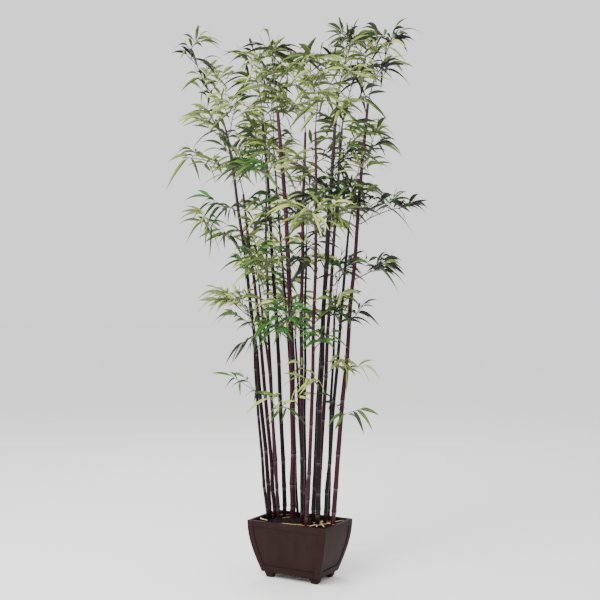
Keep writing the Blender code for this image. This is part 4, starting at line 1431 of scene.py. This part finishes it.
    def fan_leaf(self, label: str, fork: int, slot: int, twig: tuple, attempt: int) -> Leaf:
        """One leaf of a twig: slot 0 carries on from its end, the others alternate down its sides."""
        start, end = twig
        dice = random.Random(f"{label} leaf {slot} {attempt}")
        direction = (end - start).normalized()
        side = 1 if (slot + fork) % 2 else -1
        if slot:
            spread = side * (22 + 10 * slot) * (1 + 0.6 * abs(direction.z)) + dice.uniform(-16, 16)
            rise = rise_of(direction) * 0.5 + dice.uniform(-30, 44) - 2 * slot
        else:
            spread = dice.uniform(-9, 9)
            rise = rise_of(direction) - dice.uniform(0, 18)
        size = self.small_share if start.z < self.small_below else 1.0
        return Leaf(
            root=end - direction * self.fan_spacing * slot,
            direction=heading(bearing_of(direction) + spread, rise),
            length=self.leaf_length * size * dice.uniform(0.70, 1.12),
            width=self.leaf_width * dice.uniform(0.8, 1.15),
            droop=dice.uniform(0.26, 0.80),
            curl=dice.uniform(-0.12, 0.12),
            roll=math.radians(dice.choice((-1, 1)) * dice.uniform(*self.leaf_roll)),
        )

    def spike(self, label: str, twig: tuple[Vector, Vector]) -> Leaf:
        """The new leaf at a twig's end, still rolled into a thin spike."""
        dice = random.Random(f"{label} spike")
        start, end = twig
        direction = (end - start).normalized().lerp(UP, dice.uniform(0.1, 0.5)).normalized()
        length = self.leaf_length * dice.uniform(0.30, 0.55)
        return Leaf(end, direction, length, 0.0026, dice.uniform(0.0, 0.08), 0.0, 0.0)

    def fits(self, leaf: Leaf) -> bool:
        """Whether a leaf stays within the crown's reach and touches no cane."""
        points = [leaf.point(share) for share in (0.35, 0.55, 0.75, 1.0)]
        within = all(
            abs(point.x) < self.crown_half_length
            and abs(point.y) < self.crown_half_depth
            and point.z < self.crown_top
            for point in points
        )
        return within and not any(
            self.clump.holds(name, point, self.leaf_clearance) for name in CANES for point in points
        )

    def twig_path(self, label: str, line: tuple[Vector, Vector], radius: float, tip_radius: float) -> Path:
        """A thin kinked path along a twig, swollen where its nodes are."""
        dice = random.Random(f"{label} path")
        start, end = line
        along = (end - start).normalized()
        steps = max(2, round((end - start).length / 0.025))
        path = Path()
        path.add(start - along * 0.001, radius)
        for step in range(1, steps):
            share = step / steps
            kink = heading(dice.uniform(0, 360), 0) * 0.0016 * (-1) ** step
            size = radius + (tip_radius - radius) * share
            centre = start.lerp(end, share) + kink
            path.add(centre - along * 0.0022, size)
            path.add(centre, size * self.node_swell)
            path.add(centre + along * 0.0022, size)
        path.add(end, tip_radius)
        return path

    def stem_path(self, points: list[Vector]) -> Path:
        """The stem's path, swollen at each of its nodes."""
        path = Path()
        last = len(points) - 1
        for number, point in enumerate(points):
            share = number / last
            radius = self.stem_radius + (self.stem_tip_radius - self.stem_radius) * share
            if 0 < number < last:
                along = (points[number + 1] - points[number - 1]).normalized()
                path.add(point - along * 0.003, radius)
                path.add(point, radius * self.node_swell)
                path.add(point + along * 0.003, radius)
            else:
                path.add(point, radius)
        return path

    def add_fan(self, label: str, fork: int, twig: tuple[Vector, Vector], tone: Tone, count: int) -> None:
        """Adds a twig's leaves, each the first of a few tries that fits, and its spike."""
        found = self.leaves.setdefault(tone, [])
        for slot in range(count):
            tries = (self.fan_leaf(label, fork, slot, twig, number) for number in range(self.leaf_tries))
            leaf = next((leaf for leaf in tries if self.fits(leaf)), None)
            if leaf:
                found.append(leaf)
        spike = self.spike(label, twig)
        if self.fits(spike):
            found.append(spike)

    def tone(self, dice: random.Random, palette: Palette, start: Vector) -> Tone:
        """A twig's tone, from its spray's palette or, towards the crown's top, the shady one."""
        shade = (start.z - self.shade_from) / (self.shade_to - self.shade_from)
        return dice.choice((Palette.SHADY if dice.random() < shade else palette).value)

    def fullness(self, start: Vector) -> tuple[int, int]:
        """How many finer twigs a twig has, and how many leaves: fewer on the sprays lower down."""
        if start.z < self.sparse_below:
            return 0, self.fan_leaves - 1
        if start.z < self.full_above:
            return self.finer_twigs - 1, self.fan_leaves
        return self.finer_twigs, self.fan_leaves

    def grow(self, name: str, spray: Spray) -> None:
        """Grows one spray: its stem, its twigs, their finer twigs and all their leaves."""
        points = self.stem_points(name, spray)
        self.twigs.append(self.stem_path(points))
        tip, direction = self.along_stem(points, 1.0)
        end = (tip - direction * self.fan_spacing * self.fan_leaves, tip)
        tones = random.Random(f"{name} tones")
        finer_twigs, fan = self.fullness(points[0])
        tone = self.tone(tones, spray.palette, tip)
        self.add_fan(f"{name} twig {spray.forks}", spray.forks, end, tone, fan)
        for fork in range(spray.forks):
            label = f"{name} twig {fork}"
            twig = self.twig_line(name, spray, points, fork)
            tone = self.tone(tones, spray.palette, twig[0])
            self.twigs.append(self.twig_path(label, twig, self.twig_radius, self.fine_radius))
            self.add_fan(label, fork, twig, tone, fan - fork % 2)
            finer = [self.finer_line(label, twig, number) for number in range(finer_twigs)]
            if spray.height is None:
                finer.append(self.opposite(twig, label))
            for number, line in enumerate(finer):
                tag = f"{label} finer {number}"
                self.twigs.append(self.twig_path(tag, line, self.fine_radius, self.fine_radius * 0.8))
                self.add_fan(tag, number, line, tone, self.finer_leaves)

    def joint_sprays(self) -> dict[str, Spray]:
        """The small sprays at the upper joints of the canes, each turned on from the last."""
        found = {}
        for number, name in enumerate(CANES):
            dice = random.Random(f"{name} joints")
            palettes = JOINT_PALETTES.get(name, DEFAULT_JOINT_PALETTES)
            for joint, (point, _) in enumerate(self.clump.lines[name][2:-1]):
                leafy = self.full_joint_spray - self.lowest_joint_spray
                height = (point.z - self.lowest_joint_spray) / leafy
                chance = self.least_in_leaf + (1 - self.least_in_leaf) * height
                if height > 0 and dice.random() < chance:
                    bearing = self.joint_turn * (joint + 2 * number) + dice.uniform(-25, 25)
                    rise, reach = dice.uniform(30, 60), dice.uniform(0.05, 0.11)
                    palette = dice.choice(palettes)
                    found[f"{name}_joint_{joint}"] = Spray(
                        name, point.z, bearing % 360, rise, reach, 2, 0.25, palette
                    )
        return found

    def leaf_points(self, name: str, leaves: list[Leaf]) -> bpy.types.Mesh:
        """A mesh of the leaves' roots, with what turns, sizes and bends each as attributes."""
        mesh = bpy.data.meshes.new(name)
        mesh.from_pydata([leaf.root for leaf in leaves], [], [])
        values = {
            "direction": [leaf.direction for leaf in leaves],
            "side": [leaf.side() for leaf in leaves],
            "size": [Vector((leaf.width, leaf.length, leaf.width)) for leaf in leaves],
            "bend": [leaf.bend() for leaf in leaves],
        }
        for mark, vectors in values.items():
            attribute = mesh.attributes.new(mark, "FLOAT_VECTOR", "POINT")
            attribute.data.foreach_set("vector", [part for vector in vectors for part in vector])
        return mesh

    def build(self, tubes: bpy.types.NodeTree) -> None:
        """Grows all the sprays, and dresses the twigs and the leaves of each tone."""
        for name, spray in {**SPRAYS, **EXTRA_SPRAYS, **self.joint_sprays()}.items():
            self.grow(name, spray)
        inputs = {"Sides": 6, "Flatness": 1.0, "Finish": TwigBark().material()}
        twigs = grown("twigs", path_mesh("twigs", self.twigs), tubes, inputs)
        hand_over(twigs, "black_cane", *SPRAYS)
        tree = leaf_tree()
        blade = self.blade()
        for tone, leaves in self.leaves.items():
            name = f"leaves_{tone.name.lower()}"
            upper, under = (cloth.material() for cloth in tone.value)
            inputs = {"Blade": blade, "Upper Finish": upper, "Under Finish": under}
            piece = grown(name, self.leaf_points(name, leaves), tree, inputs)
            hand_over(piece, "leaf_green", *SPRAYS)
        bpy.data.objects.remove(blade)
        log.info("%d leaves and spikes", sum(len(leaves) for leaves in self.leaves.values()))


@dataclass
class Studio:
    """A plain pale floor, soft light from large panels, and the camera at the photograph's angle."""

    azimuth: float = 29.7
    height: float = 1.03
    distance: float = 3.66
    lens: float = 58.9
    sensor: float = 36.0
    floor_size: float = 60.0
    floor_colour: str = "#fcfcfb"
    air_colour: str = "#ffffff"
    air_strength: float = 1.3
    # Each panel: azimuth, elevation, distance, width and power.
    panels: tuple[tuple[float, ...], ...] = (
        (-10.0, 36.0, 3.4, 2.4, 190.0),
        (215.0, 45.0, 3.6, 2.0, 60.0),
    )

    def direction(self, azimuth: float, elevation: float) -> Vector:
        """The direction from the plant to a viewer at this azimuth and elevation."""
        turn, lift = math.radians(azimuth), math.radians(elevation)
        return Vector(
            (math.sin(turn) * math.cos(lift), -math.cos(turn) * math.cos(lift), math.sin(lift))
        )

    def floor(self) -> None:
        """A wide matt floor just under the feet."""
        built = bmesh.new()
        bmesh.ops.create_grid(built, x_segments=1, y_segments=1, size=self.floor_size / 2)
        bmesh.ops.translate(built, verts=built.verts, vec=(0, 0, -0.0005))
        material, _, shader = new_finish("pale_paper_floor")
        shader.inputs["Base Color"].default_value = linear(self.floor_colour)
        shader.inputs["Roughness"].default_value = 0.9
        shader.inputs["Specular IOR Level"].default_value = 0.0
        floor = new_object("floor", mesh_of("floor", built))
        floor.data.materials.append(material)

    def lights(self) -> None:
        """The pale air and the soft panels, each turned to the plant's middle."""
        world = bpy.data.worlds.new("studio_air")
        world.use_nodes = True
        air = world.node_tree.nodes["Background"]
        air.inputs["Color"].default_value = linear(self.air_colour)
        air.inputs["Strength"].default_value = self.air_strength
        bpy.context.scene.world = world
        for number, (azimuth, elevation, distance, width, power) in enumerate(self.panels):
            light = bpy.data.lights.new(f"panel_{number}", "AREA")
            light.shape = "SQUARE"
            light.size = width
            light.energy = power
            back = self.direction(azimuth, elevation)
            made = bpy.data.objects.new(light.name, light)
            made.location = back * distance + UP * self.height
            made.rotation_euler = back.to_track_quat("Z", "Y").to_euler()
            bpy.context.scene.collection.objects.link(made)

    def camera(self) -> None:
        """The camera, level with the plant's middle, as in the photograph."""
        lens = bpy.data.cameras.new("camera")
        lens.lens = self.lens
        lens.sensor_width = self.sensor
        back = self.direction(self.azimuth, 0)
        made = bpy.data.objects.new("camera", lens)
        made.location = back * self.distance + UP * self.height
        made.rotation_euler = back.to_track_quat("Z", "Y").to_euler()
        bpy.context.scene.collection.objects.link(made)
        bpy.context.scene.camera = made

    def build(self) -> None:
        """Builds the floor, the lights and the camera."""
        self.floor()
        self.lights()
        self.camera()


def main() -> None:
    """Builds the studio and the plant."""
    logging.basicConfig(level=logging.INFO, format="%(message)s")
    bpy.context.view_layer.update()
    Studio().build()
    tubes = tube_tree()
    planter = Planter()
    planter.build()
    Bedding(planter).build(tubes)
    clump = CaneClump()
    clump.build(tubes)
    Foliage(clump).build(tubes)


if __name__ == "__main__":
    main()
